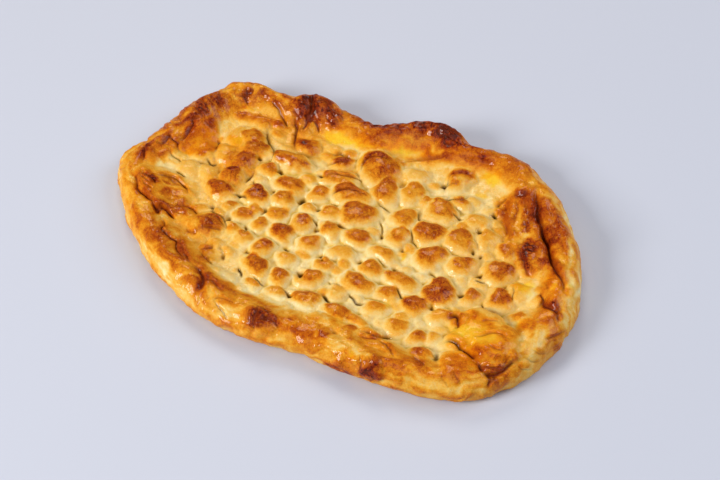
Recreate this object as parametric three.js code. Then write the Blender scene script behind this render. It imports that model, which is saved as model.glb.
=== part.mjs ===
// Turkish pide: an oval flat bread pressed all over with the finger tips and baked
// in one piece. Millimetres, +Z up, resting on its flat underside at z = 0, with
// the long way of the loaf along X and the origin under the middle of its box.
//
// The skin is three sheets welded along their edges: the pressed top, the wall that
// rolls over the rim and tucks under, and the flat underside.

import * as THREE from 'three';
import { mergeGeometries, mergeVertices } from 'three/addons/utils/BufferGeometryUtils.js';

// ---- Driving dimensions -------------------------------------------------------

const HALF_LENGTH = 197;
const HALF_WIDTH = 129;

// The plan is an ellipse of those half lengths, swollen or pinched at evenly spaced
// stations round it, counted from the right-hand end towards the back.
const PLAN_SWELL = [
  1.00, 0.99, 0.99, 1.00, 1.02, 1.06, 1.08, 1.10, 0.99, 1.00,
  0.92, 0.84, 0.88, 0.96, 0.96, 1.06, 1.04, 0.99, 0.96, 0.95,
  0.96, 1.01, 1.00, 0.98, 0.98, 0.98, 0.99, 1.00, 1.02, 1.01,
  0.99, 0.96, 0.99, 1.03, 1.08, 1.11, 1.09, 1.06, 1.03, 1.01,
];

const FLOOR_HEIGHT = 12;       // pressed dough between the pillows
const RIM_CREST_HEIGHT = 24;   // top of the rim, before it is made uneven
const RIM_CREST_INSET = 14;    // the crest's distance inside the outline
const RIM_WIDTH = 44;          // the rim's foot, inside the outline
const WALL_EQUATOR = 9;        // height where the wall bulges out furthest
const UNDERCUT = 9;            // how far the wall tucks in under the loaf

// How much higher or lower the rim stands, at evenly spaced stations round it.
const RIM_RISE = [0, 3, 2, 0, -2, 3, 3, -3, 1, 4, -1, 0, -2, -3, -2, -1, -1, 0, -1, 0, 1, 2, 3, 2];

// Pillows stand in rows, like bricks, wherever the floor is clear of the rim.
const ROW_PITCH = 17;
const PILLOW_PITCH = 23;
const PILLOW_HALF_LENGTH = 15;
const PILLOW_HALF_WIDTH = 12;
const PILLOW_RISE = 8;
const PILLOW_UNEVENNESS = 0.3;   // share of the size, and of half the pitch
const ROW_BOW = 0.0006;          // each row's sag towards the front, per mm squared
const DOME_SOFTNESS = 1.2;       // 0.5 is half a ball, 1 a parabola, 2 a bell
const UNION_SHARPNESS = 4;       // how sharply neighbouring domes meet

// Large blisters, flaps and knots of dough, on the floor or on the rim: middle,
// half length, half width, turn from X in degrees, and rise above what is there.
const SWELLINGS = [
  { name: 'back bubble', at: [0, 60], size: [24, 20], turn: -8, rise: 11 },
  { name: 'middle bubble', at: [7, 13], size: [21, 19], turn: 0, rise: 10 },
  { name: 'front bubble', at: [98, -24], size: [24, 19], turn: 60, rise: 11 },
  { name: 'right bubble', at: [66, 22], size: [18, 15], turn: -15, rise: 10 },
  { name: 'left ridge', at: [-102, 12], size: [38, 15], turn: 95, rise: 9 },
  { name: 'back left ridge', at: [-68, 40], size: [30, 12], turn: -5, rise: 8 },
  { name: 'puffed flap', at: [142, -54], size: [36, 24], turn: -25, rise: 11 },
  { name: 'right fold', at: [136, 52], size: [52, 15], turn: -57, rise: 9 },
  { name: 'left flap', at: [-140, -38], size: [34, 18], turn: -20, rise: 8 },
  { name: 'back knot', at: [-78, 98], size: [22, 18], turn: 20, rise: 7 },
  { name: 'back blister', at: [22, 114], size: [28, 15], turn: 10, rise: 4 },
  { name: 'front knot', at: [-11, -112], size: [16, 14], turn: 0, rise: 4 },
  { name: 'front blister', at: [82, -112], size: [15, 12], turn: 0, rise: 3 },
];

// Folds where the dough creases in on itself: a line across the top, and the
// width and depth of its groove.
const CREASES = [
  { name: 'right slit', along: [[119, 102], [150, 55], [181, 4]], width: 6, depth: 9 },
  { name: 'right pocket', along: [[150, -72], [163, -80], [176, -56]], width: 6, depth: 6 },
  { name: 'flap edge', along: [[118, -44], [124, -68], [150, -72]], width: 6, depth: 4 },
  { name: 'left crease', along: [[-176, -24], [-150, -52], [-120, -72], [-66, -104]], width: 6, depth: 5 },
  { name: 'knot crease', along: [[-88, 108], [-78, 84], [-72, 50]], width: 6, depth: 5 },
  { name: 'left fold', along: [[-168, 48], [-163, 18], [-150, 2]], width: 6, depth: 4 },
];

// Facets: cells along and across the top sheet, and rows down the wall.
const CELLS_ALONG = 70;
const CELLS_ACROSS = 46;
const WALL_ROWS = 7;
const WELD_DISTANCE = 1e-3;

const CRUST_COLOUR = 0xd6913b;
const CRUST_ROUGHNESS = 0.5;

// ---- Small helpers ------------------------------------------------------------

const QUARTER_TURN = Math.PI / 2;
const FULL_TURN = Math.PI * 2;
const SCATTER_STEP = 127.1;
const SCATTER_SPREAD = 43758.5453;

/** Value at a turn of 0 to 1 of a smooth closed curve through evenly spaced values. */
function roundTable(values, turn) {
  const place = (turn - Math.floor(turn)) * values.length;
  const first = Math.floor(place);
  const t = place - first;
  const [a, b, c, d] = [-1, 0, 1, 2].map((k) => values[(first + k + values.length) % values.length]);
  return b + 0.5 * t * (c - a + t * (2 * a - 5 * b + 4 * c - d + t * (3 * (b - c) + d - a)));
}

/** Repeatable number from -1 to 1 for a counter. */
function scatter(count) {
  const wave = Math.sin((count + 1) * SCATTER_STEP) * SCATTER_SPREAD;
  return 2 * (wave - Math.floor(wave)) - 1;
}

/** Soft largest of several rises, so that neighbours meet in a rounded valley. */
function softLargest(rises) {
  const total = rises.reduce((sum, rise) => sum + rise ** UNION_SHARPNESS, 0);
  return total ** (1 / UNION_SHARPNESS);
}

/** Soft dome of unit height over an ellipse; zero outside it. */
function dome(x, y, { at, size, turn = 0 }) {
  const angle = THREE.MathUtils.degToRad(turn);
  const dx = x - at[0];
  const dy = y - at[1];
  const along = (dx * Math.cos(angle) + dy * Math.sin(angle)) / size[0];
  const across = (dy * Math.cos(angle) - dx * Math.sin(angle)) / size[1];
  return Math.max(0, 1 - along ** 2 - across ** 2) ** DOME_SOFTNESS;
}

/** Distance from a point to a chain of straight stretches. */
function distanceToLine(x, y, points) {
  let nearest = Infinity;
  for (let k = 1; k < points.length; k += 1) {
    const [ax, ay] = points[k - 1];
    const [bx, by] = points[k];
    const share = ((x - ax) * (bx - ax) + (y - ay) * (by - ay)) / ((bx - ax) ** 2 + (by - ay) ** 2);
    const t = THREE.MathUtils.clamp(share, 0, 1);
    nearest = Math.min(nearest, Math.hypot(x - ax - t * (bx - ax), y - ay - t * (by - ay)));
  }
  return nearest;
}

// ---- The outline --------------------------------------------------------------

/** Point of the outline at a turn, drawn in towards the middle by an inset. */
function outlinePoint(turn, inset = 0) {
  const swell = roundTable(PLAN_SWELL, turn);
  const angle = turn * FULL_TURN;
  const point = new THREE.Vector2(HALF_LENGTH * Math.cos(angle), HALF_WIDTH * Math.sin(angle));
  point.multiplyScalar(swell);
  return point.setLength(point.length() - inset);
}

/** Turn of a point of a square sheet that is wrapped onto a disc ring by ring. */
function sheetTurn(u, v) {
  if (u === 0 && v === 0) return 0;
  if (Math.abs(u) >= Math.abs(v)) return (u > 0 ? 0 : 0.5) + v / u / 8;
  return (v > 0 ? 0.25 : 0.75) - u / v / 8;
}

const SHEET_SIDES = [CELLS_ACROSS, CELLS_ALONG, CELLS_ACROSS, CELLS_ALONG];
const RING_CELLS = 2 * (CELLS_ALONG + CELLS_ACROSS);

/** Turn of a vertex of an evenly divided ring, so that it meets one of the top sheet's edge. */
function ringTurn(share) {
  let place = Math.round(share * RING_CELLS) % RING_CELLS;
  let side = 0;
  while (place >= SHEET_SIDES[side]) {
    place -= SHEET_SIDES[side];
    side += 1;
  }
  return (side - 0.5 + place / SHEET_SIDES[side]) / 4;
}

// ---- Height of the top --------------------------------------------------------

/** Rows of pillows between the finger presses, each a little different. */
function layPillows() {
  const pillows = [];
  let draws = 0;
  const uneven = () => {
    draws += 1;
    return PILLOW_UNEVENNESS * scatter(draws);
  };
  for (let row = 0, y = -HALF_WIDTH; y < HALF_WIDTH; row += 1, y += ROW_PITCH) {
    const shift = (row % 2) * PILLOW_PITCH / 2;
    for (let x = shift - HALF_LENGTH; x < HALF_LENGTH; x += PILLOW_PITCH) {
      pillows.push({
        at: [x + uneven() * PILLOW_PITCH / 2, y - ROW_BOW * x * x + uneven() * ROW_PITCH / 2],
        size: [PILLOW_HALF_LENGTH * (1 + uneven()), PILLOW_HALF_WIDTH * (1 + uneven() / 2)],
        rise: PILLOW_RISE * (1 + uneven()),
      });
    }
  }
  return pillows;
}

const PILLOWS = layPillows();

/** Rise of a set of pillows or swellings at a place. */
const riseOf = (lumps, x, y) => softLargest(lumps.map((lump) => lump.rise * dome(x, y, lump)));

/** Depth of the deepest crease at a place. */
function creaseDepth(x, y) {
  return CREASES.reduce((deepest, crease) => {
    const reach = distanceToLine(x, y, crease.along) / crease.width;
    return Math.max(deepest, crease.depth * Math.exp(-reach * reach));
  }, 0);
}

/** Height of the top skin at a turn and an inset from the outline. */
function topHeight(turn, inset) {
  const { x, y } = outlinePoint(turn, inset);
  const floor = THREE.MathUtils.smoothstep(inset, RIM_CREST_INSET, RIM_WIDTH);
  const crest = RIM_CREST_HEIGHT + roundTable(RIM_RISE, turn);
  const base = THREE.MathUtils.lerp(crest, FLOOR_HEIGHT, floor);
  const rise = softLargest([riseOf(PILLOWS, x, y) * floor, riseOf(SWELLINGS, x, y)]);
  return base + rise - creaseDepth(x, y);
}

// ---- The three sheets ---------------------------------------------------------

/** Moves every vertex of a geometry to where place(vertex) says. */
function reshape(geometry, place) {
  const position = geometry.attributes.position;
  const vertex = new THREE.Vector3();
  for (let k = 0; k < position.count; k += 1) {
    place(vertex.fromBufferAttribute(position, k));
    position.setXYZ(k, vertex.x, vertex.y, vertex.z);
  }
  geometry.deleteAttribute('normal');
  geometry.deleteAttribute('uv');
  return geometry;
}

/** Share of a full turn, from 0 to 1, of a direction. */
const shareOfTurn = (sine, cosine) => (Math.atan2(sine, cosine) / FULL_TURN + 1) % 1;

/** The pressed top, from the middle out to the crest of the rim. */
function topSheet() {
  return reshape(new THREE.PlaneGeometry(2, 2, CELLS_ALONG, CELLS_ACROSS), (vertex) => {
    const ring = Math.max(Math.abs(vertex.x), Math.abs(vertex.y));
    const turn = sheetTurn(vertex.x, vertex.y);
    const reach = outlinePoint(turn).length();
    const inset = reach - ring * (reach - RIM_CREST_INSET);
    const place = outlinePoint(turn, inset);
    vertex.set(place.x, place.y, topHeight(turn, inset));
  });
}

/** Inset and height of the wall, for a way of 0 at the crest, 1 at its widest and 2 at the base. */
function wallSection(way, crest) {
  const sine = Math.sin((way % 1) * QUARTER_TURN);
  const cosine = Math.cos((way % 1) * QUARTER_TURN);
  if (way < 1) {
    return { inset: RIM_CREST_INSET * (1 - sine), height: WALL_EQUATOR + (crest - WALL_EQUATOR) * cosine };
  }
  if (way < 2) return { inset: UNDERCUT * (1 - cosine), height: WALL_EQUATOR * (1 - sine) };
  return { inset: UNDERCUT, height: 0 };
}

/** The wall, which rolls over the rim's crest and tucks in under the loaf. */
function wallSheet() {
  const tube = new THREE.CylinderGeometry(1, 1, 2, RING_CELLS, WALL_ROWS, true);
  return reshape(tube, (vertex) => {
    const turn = ringTurn(shareOfTurn(vertex.x, vertex.z));
    const { inset, height } = wallSection(1 - vertex.y, topHeight(turn, RIM_CREST_INSET));
    const place = outlinePoint(turn, inset);
    vertex.set(place.x, place.y, height);
  });
}

/** The flat underside. */
function baseSheet() {
  return reshape(new THREE.CircleGeometry(1, RING_CELLS), (vertex) => {
    const atEdge = vertex.length() > 0.5;
    const place = outlinePoint(ringTurn(shareOfTurn(vertex.x, vertex.y)), UNDERCUT);
    vertex.set(atEdge ? place.x : 0, atEdge ? place.y : 0, 0);
  });
}

// ---- The loaf -----------------------------------------------------------------

const skin = mergeVertices(mergeGeometries([topSheet(), wallSheet(), baseSheet()]), WELD_DISTANCE);
skin.computeVertexNormals();

const crust = new THREE.MeshStandardMaterial({
  name: 'baked crust',
  color: CRUST_COLOUR,
  roughness: CRUST_ROUGHNESS,
  metalness: 0,
});

const loaf = new THREE.Mesh(skin, crust);
loaf.name = 'pide_loaf';

const group = new THREE.Group();
group.add(loaf);

export default group;
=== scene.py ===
"""A whole turkish pide: an oval, finger-pressed flat bread with an uneven crusty rim.

The loaf is one skin. A square sheet of cells is wrapped onto the loaf's plan ring by
ring, rolled over the rim and tucked under to the flat base. Its relief and its
browning are worked out on a plan map, in millimetres, by the steps that a baker and
an oven take: pressing, rising, creasing and baking. They are then carried to the skin.
"""
from __future__ import annotations

import logging
import math
from dataclasses import dataclass, field
from enum import Enum
from typing import Protocol, Sequence

import bmesh
import bpy
import numpy as np
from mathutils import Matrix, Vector


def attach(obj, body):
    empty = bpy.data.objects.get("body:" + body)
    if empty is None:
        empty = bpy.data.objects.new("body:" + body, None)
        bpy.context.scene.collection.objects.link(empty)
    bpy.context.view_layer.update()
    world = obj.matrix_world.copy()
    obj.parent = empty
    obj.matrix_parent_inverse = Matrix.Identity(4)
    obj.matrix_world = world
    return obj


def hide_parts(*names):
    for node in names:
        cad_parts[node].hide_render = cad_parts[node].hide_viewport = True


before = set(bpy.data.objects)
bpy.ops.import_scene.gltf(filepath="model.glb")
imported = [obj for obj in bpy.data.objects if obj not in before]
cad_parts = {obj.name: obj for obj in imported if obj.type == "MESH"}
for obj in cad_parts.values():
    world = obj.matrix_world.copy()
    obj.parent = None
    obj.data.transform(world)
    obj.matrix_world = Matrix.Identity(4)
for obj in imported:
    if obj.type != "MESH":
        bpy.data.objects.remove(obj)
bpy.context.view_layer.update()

LOG = logging.getLogger("pide")
MM = 0.001
LOAF_NODE = "pide_loaf"
FULL_TURN = 2.0 * math.pi
QUARTER_TURN = 0.5 * math.pi

# Layers of the plan map that the skin carries as attributes for the crust material.
SKIN_LAYERS = ("bake", "crease", "gap", "hollow_shade", "wrinkle", "butter")

# Direction in plan that faced the fire: the pillows are browner there, partly from the oven and partly from
# painted shade, as this side is turned from the key light.
FIRE_AND_SHADE_SIDE = (-0.47, 0.88)

Array = np.ndarray
Box = tuple[slice, slice]
Span = tuple[float, float]
Tree = bpy.types.NodeTree
Socket = bpy.types.NodeSocket
Inputs = dict[int | str, object] | Sequence[object]


class Tone(Enum):
    """How far a patch of crust is baked, from raw-looking cream to char."""

    STRAW = 0.22
    GOLD = 0.37
    AMBER = 0.48
    TAN = 0.56
    BROWN = 0.63
    DARK = 0.72


# ---- Small helpers --------------------------------------------------------------


def linear(hex_colour: str) -> tuple[float, float, float, float]:
    """Turn an sRGB hex colour into linear red, green, blue and alpha.

    Args:
        hex_colour: Six hex digits, with or without a leading hash.

    Returns:
        The linear colour, with alpha 1.
    """
    digits = hex_colour.lstrip("#")
    channels = [int(digits[k:k + 2], 16) / 255.0 for k in (0, 2, 4)]
    low = [c / 12.92 if c <= 0.04045 else ((c + 0.055) / 1.055) ** 2.4 for c in channels]
    return low[0], low[1], low[2], 1.0


def ease(values: Array, low: float, high: float) -> Array:
    """Smooth step from 0 at low to 1 at high; low may be the larger."""
    share = np.clip((values - low) / (high - low), 0.0, 1.0)
    return share * share * (3.0 - 2.0 * share)


def blend(first: Array | float, second: Array | float, share: Array | float) -> Array:
    """Mix of two values: the first where share is 0, the second where it is 1."""
    return first + (second - first) * share


def curve(a: Array, b: Array, c: Array, d: Array, share: Array) -> Array:
    """Smooth curve from b to c, whose neighbours are a and d."""
    bend = 2 * a - 5 * b + 4 * c - d + share * (3 * (b - c) + d - a)
    return b + 0.5 * share * (c - a + share * bend)


def round_table(values: Sequence[float], turn: Array) -> Array:
    """Read a smooth closed curve through evenly spaced values.

    Args:
        values: The curve's values, spaced evenly over one turn.
        turn: Places on the curve, where 1 is a whole turn.

    Returns:
        The curve's value at each place.
    """
    table = np.asarray(values, dtype=float)
    place = np.mod(turn, 1.0) * len(table)
    first = np.floor(place).astype(int)
    return curve(*(table[(first + k) % len(table)] for k in (-1, 0, 1, 2)), place - first)


def smooth_line(knots: Array, beads: int) -> Array:
    """Draw a smooth open line through knots.

    Args:
        knots: The knots, one on each row.
        beads: How many points stand for each knot.

    Returns:
        The line's points, one on each row.
    """
    way = np.linspace(0.0, len(knots) - 1.0, beads * len(knots))
    padded = np.concatenate(([2 * knots[0] - knots[1]], knots, [2 * knots[-1] - knots[-2]]))
    first = np.minimum(np.floor(way).astype(int), len(knots) - 2)
    return curve(*(padded[first + k] for k in range(4)), (way - first)[:, None])


def turned(dx: Array, dy: Array, degrees: float) -> tuple[Array, Array]:
    """Offsets seen in axes turned anticlockwise by an angle in degrees."""
    cosine, sine = math.cos(math.radians(degrees)), math.sin(math.radians(degrees))
    return dx * cosine + dy * sine, dy * cosine - dx * sine


def lift(layer: Array, box: Box, value: Array) -> None:
    """Raise a layer to a value wherever it is lower."""
    layer[box] = np.maximum(layer[box], value)


@dataclass
class Grain:
    """Seeded noise on a tile that repeats, with a spread of 1 round 0."""

    seed: int
    cells: int = 64
    cell: int = 8
    # Width of the blur, counted in cells.
    softness: float = 0.34
    # Each finer layer's strength, and where it starts on the tile.
    falloff: float = 0.55
    shift: Span = (17.3, 5.7)
    tile: Array = field(init=False)

    def __post_init__(self) -> None:
        """Blur white noise to one bump for each cell."""
        size = self.cells * self.cell
        white = np.random.default_rng(self.seed).standard_normal((size, size))
        pitch = np.fft.fftfreq(size)
        wave = pitch[:, None] ** 2 + pitch[None, :] ** 2
        damp = np.exp(-2.0 * (math.pi * (self.softness * self.cell)) ** 2 * wave)
        smooth = np.fft.ifft2(np.fft.fft2(white) * damp).real
        self.tile = (smooth - smooth.mean()) / smooth.std()

    def at(self, x: Array, y: Array) -> Array:
        """Read the noise at places counted in cells.

        Args:
            x: Places across the tile.
            y: Places up the tile.

        Returns:
            The noise there, blended between the tile's points.
        """
        size = self.tile.shape[0]
        px, py = np.mod(x * self.cell, size), np.mod(y * self.cell, size)
        ix, iy = np.floor(px).astype(int), np.floor(py).astype(int)
        tx, ty = px - ix, py - iy
        jx, jy = (ix + 1) % size, (iy + 1) % size
        ix, iy = ix % size, iy % size
        low = blend(self.tile[iy, ix], self.tile[iy, jx], tx)
        high = blend(self.tile[jy, ix], self.tile[jy, jx], tx)
        return blend(low, high, ty)

    def layered(self, x: Array, y: Array, octaves: int) -> Array:
        """Sum of the noise at doubling fineness and falling strength.

        Args:
            x: Places across the tile.
            y: Places up the tile.
            octaves: How many layers are summed.

        Returns:
            The summed noise, with a spread of about 1.
        """
        total = np.zeros_like(x)
        weight = 0.0
        for octave in range(octaves):
            strength = self.falloff ** octave
            px, py = (v * 2.0 ** octave + shift * octave for v, shift in zip((x, y), self.shift))
            total += strength * self.at(px, py)
            weight += strength * strength
        return total / math.sqrt(weight)


# ---- What the baker's hands and the oven made, all in millimetres -----------------


@dataclass(frozen=True)
class Pillow:
    """A dome of dough between finger presses, given by its browned cap."""

    x: float
    y: float
    length: float
    width: float
    tone: Tone
    turn: float = 0.0

    @property
    def half(self) -> Span:
        """Half of the cap's length and of its width."""
        return self.length / 2.0, self.width / 2.0

    def fireward(self, dx: Array, dy: Array) -> Array:
        """How far places lie towards the fire, counted in the cap's mean half width."""
        return (dx * FIRE_AND_SHADE_SIDE[0] + dy * FIRE_AND_SHADE_SIDE[1]) / (0.5 * (self.half[0] + self.half[1]))


@dataclass(frozen=True)
class Swelling:
    """A flap, knot or blister larger than a pillow, raised above what is there."""

    name: str
    x: float
    y: float
    length: float
    width: float
    turn: float
    rise: float
    softness: float = 0.8
    smooth: float = 0.0


@dataclass(frozen=True)
class Fold:
    """A crease along a chain of points: its lip stands on the left, its banks are browned, and its line is
    darkened with painted shade.
    """

    points: tuple[Span, ...]
    width: float
    depth: float
    lip: float = 0.0
    # How dark the painted shade in the crease's line is.
    dark: float = 0.6
    brown: float = 0.0
    brown_reach: float = 3.0


@dataclass(frozen=True)
class Pit:
    """A place where a finger tip went almost through the dough."""

    x: float
    y: float
    radius: float
    depth: float
    # How dark the painted shade at its bottom is.
    dark: float


@dataclass(frozen=True)
class Patch:
    """A soft-edged patch where a layer of the crust differs."""

    x: float
    y: float
    length: float
    width: float
    amount: float
    turn: float = 0.0
    edge: float = 0.5


PILLOWS: tuple[Pillow, ...] = (
    # Back row, under the rim that faced the fire.
    Pillow(0, 63, 34, 27, Tone.BROWN, -8), Pillow(-64, 60, 20, 12, Tone.BROWN, 8),
    Pillow(-30, 56, 16, 12, Tone.BROWN, 5), Pillow(35, 54, 18, 18, Tone.AMBER, -35),
    Pillow(47, 51, 8, 7, Tone.BROWN), Pillow(63, 47, 27, 18, Tone.AMBER, -28),
    Pillow(73, 62, 14, 9, Tone.AMBER, 10), Pillow(62, 84, 16, 17, Tone.AMBER, -20),
    Pillow(93, 50, 17, 12, Tone.GOLD), Pillow(30, 71, 18, 12, Tone.STRAW, 10),
    Pillow(86, 40, 10, 7, Tone.AMBER), Pillow(106, 39, 16, 13, Tone.GOLD),
    # Second row.
    Pillow(-68, 38, 40, 11, Tone.AMBER, 3), Pillow(-24, 38, 27, 13, Tone.AMBER, 15),
    Pillow(15, 44, 22, 20, Tone.BROWN, -10), Pillow(-8, 28, 32, 15, Tone.TAN, -4),
    Pillow(41, 26, 19, 18, Tone.AMBER, 15), Pillow(65, 22, 25, 19, Tone.DARK, -10),
    Pillow(89, 27, 19, 21, Tone.BROWN, 10), Pillow(127, 33, 14, 14, Tone.AMBER),
    Pillow(-99, 36, 23, 15, Tone.TAN, 10),
    # Third row.
    Pillow(-102, 20, 18, 16, Tone.BROWN), Pillow(-80, 22, 14, 12, Tone.BROWN, 20),
    Pillow(-55, 15, 22, 16, Tone.BROWN, -5), Pillow(-46, 27, 12, 8, Tone.GOLD),
    Pillow(-31, 19, 13, 12, Tone.TAN, 20), Pillow(6, 13, 27, 22, Tone.BROWN),
    Pillow(45, 8, 15, 17, Tone.AMBER), Pillow(77, 1, 23, 18, Tone.BROWN, 35),
    Pillow(101, 5, 17, 14, Tone.TAN), Pillow(129, 12, 20, 20, Tone.BROWN, 10),
    Pillow(151, 1, 14, 14, Tone.GOLD),
    # Fourth row.
    Pillow(-103, 3, 15, 14, Tone.BROWN), Pillow(-74, -7, 18, 16, Tone.DARK, -15),
    Pillow(-53, 0, 19, 12, Tone.TAN), Pillow(-30, 1, 13, 7, Tone.GOLD), Pillow(-13, 4, 16, 14, Tone.AMBER),
    Pillow(17, -8, 19, 14, Tone.BROWN, -8), Pillow(42, -13, 18, 10, Tone.AMBER),
    Pillow(97, -28, 28, 21, Tone.DARK, 60), Pillow(120, -19, 12, 12, Tone.AMBER),
    Pillow(141, -12, 17, 15, Tone.BROWN), Pillow(160, -22, 11, 11, Tone.AMBER),
    # Fifth row.
    Pillow(-104, -15, 25, 12, Tone.DARK, -8), Pillow(-87, -26, 10, 7, Tone.AMBER),
    Pillow(-68, -21, 11, 8, Tone.AMBER), Pillow(-50, -17, 19, 12, Tone.AMBER, 8),
    Pillow(-28, -14, 15, 14, Tone.BROWN), Pillow(-4, -11, 17, 13, Tone.AMBER, -15),
    Pillow(14, -27, 17, 11, Tone.GOLD), Pillow(41, -31, 19, 13, Tone.TAN),
    Pillow(68, -31, 27, 12, Tone.AMBER, -6),
    # Sixth row.
    Pillow(-73, -28, 14, 10, Tone.BROWN, -10), Pillow(-57, -31, 12, 11, Tone.TAN),
    Pillow(-37, -31, 17, 16, Tone.DARK), Pillow(-13, -30, 15, 12, Tone.TAN, 15),
    Pillow(7, -44, 15, 10, Tone.AMBER), Pillow(39, -48, 24, 14, Tone.BROWN, -5),
    Pillow(64, -46, 16, 12, Tone.TAN, -10), Pillow(87, -47, 19, 15, Tone.DARK, -35),
    Pillow(108, -47, 15, 12, Tone.GOLD),
    # Seventh row.
    Pillow(-92, -50, 24, 15, Tone.TAN, -10), Pillow(-73, -46, 12, 7, Tone.AMBER),
    Pillow(-61, -49, 14, 10, Tone.AMBER), Pillow(-43, -51, 13, 15, Tone.BROWN, 15),
    Pillow(-21, -52, 15, 9, Tone.GOLD), Pillow(4, -60, 18, 14, Tone.BROWN),
    Pillow(30, -62, 13, 8, Tone.GOLD), Pillow(62, -63, 16, 10, Tone.GOLD),
    Pillow(83, -61, 12, 8, Tone.GOLD),
    # Eighth row, along the front rim.
    Pillow(-38, -69, 25, 12, Tone.DARK, -24), Pillow(-17, -70, 15, 12, Tone.BROWN, 10),
    Pillow(11, -80, 25, 13, Tone.TAN, 5), Pillow(38, -80, 20, 12, Tone.TAN, -10),
    Pillow(56, -80, 18, 7, Tone.AMBER, -8), Pillow(84, -70, 17, 10, Tone.AMBER),
    Pillow(101, -72, 12, 11, Tone.AMBER), Pillow(112, -66, 10, 8, Tone.GOLD),
    Pillow(133, -78, 18, 14, Tone.AMBER, -10),
    # Shallow dents and lumps on the pale part at the left.
    Pillow(-122, 42, 12, 18, Tone.STRAW, 5), Pillow(-120, 22, 14, 14, Tone.STRAW, 10),
    Pillow(-134, 12, 12, 10, Tone.STRAW), Pillow(-122, -4, 16, 9, Tone.STRAW, -10),
    Pillow(-138, -6, 16, 8, Tone.STRAW, -8), Pillow(-110, 46, 22, 16, Tone.AMBER, -20),
    # Last row, half lost in the rim.
    Pillow(-32, -86, 12, 7, Tone.AMBER), Pillow(-12, -84, 12, 8, Tone.AMBER),
    Pillow(37, -91, 15, 9, Tone.GOLD), Pillow(55, -93, 13, 12, Tone.AMBER),
    Pillow(110, -84, 15, 9, Tone.BROWN), Pillow(37, -101, 10, 6, Tone.TAN),
)

SWELLINGS: tuple[Swelling, ...] = (
    Swelling("left ridge", -104, 14, 80, 26, 93, 2.2),
    Swelling("back left ridge", -114, 66, 50, 16, 8, 3),
    Swelling("back left flap", -114, 77, 30, 18, -10, 2.4, 0.6, 0.7),
    Swelling("back left band", -68, 38, 58, 16, -2, 2),
    Swelling("membrane", -146, 22, 30, 42, 6, 3, 0.6, 0.9),
    Swelling("left back roll", -172, 56, 60, 30, -42, 3, 0.6),
    Swelling("lower left flap", -144, -38, 60, 34, -18, 4.4, 0.6, 0.9),
    Swelling("lower left lobe", -104, -58, 44, 26, -25, 3.6, 0.8, 0.5),
    Swelling("puffed flap", 144, -53, 62, 46, -22, 11, 0.55, 1),
    Swelling("puffed flap tip", 121, -46, 18, 14, -40, 2.8, 0.8, 0.8),
    Swelling("fold inner roll", 122, 68, 80, 26, -60, 5, 0.7, 0.9),
    Swelling("fold blister", 143, 36, 40, 22, -60, 4.5, 0.6, 0.8),
    Swelling("fold sheen", 157, 63, 26, 13, -55, 2, 0.8, 0.7),
    Swelling("fold tongue", 172, 16, 46, 18, -62, 3, 0.6, 0.6),
    Swelling("back knot", -76, 96, 44, 30, 10, 4.5, 0.6),
    Swelling("back blister", 22, 118, 56, 22, 8, 3.6, 0.6),
    Swelling("back swell", 92, 112, 46, 26, -12, 2.4, 0.8, 0.6),
    Swelling("pillow by the back rim", 6, 70, 36, 26, 10, 1.8, 0.6),
    Swelling("saddle", 82, -91, 44, 20, -12, 3.6, 0.8, 0.6),
    Swelling("front knot", -8, -117, 28, 28, 0, 3.2, 0.6),
    Swelling("front blister", 83, -117, 28, 20, -10, 3.2, 0.6),
    Swelling("front corner roll", 138, -84, 26, 34, 10, 2.6, 0.6, 0.7),
    Swelling("upper left roll", -140, 90, 50, 18, 12, 2.2),
)

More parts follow.
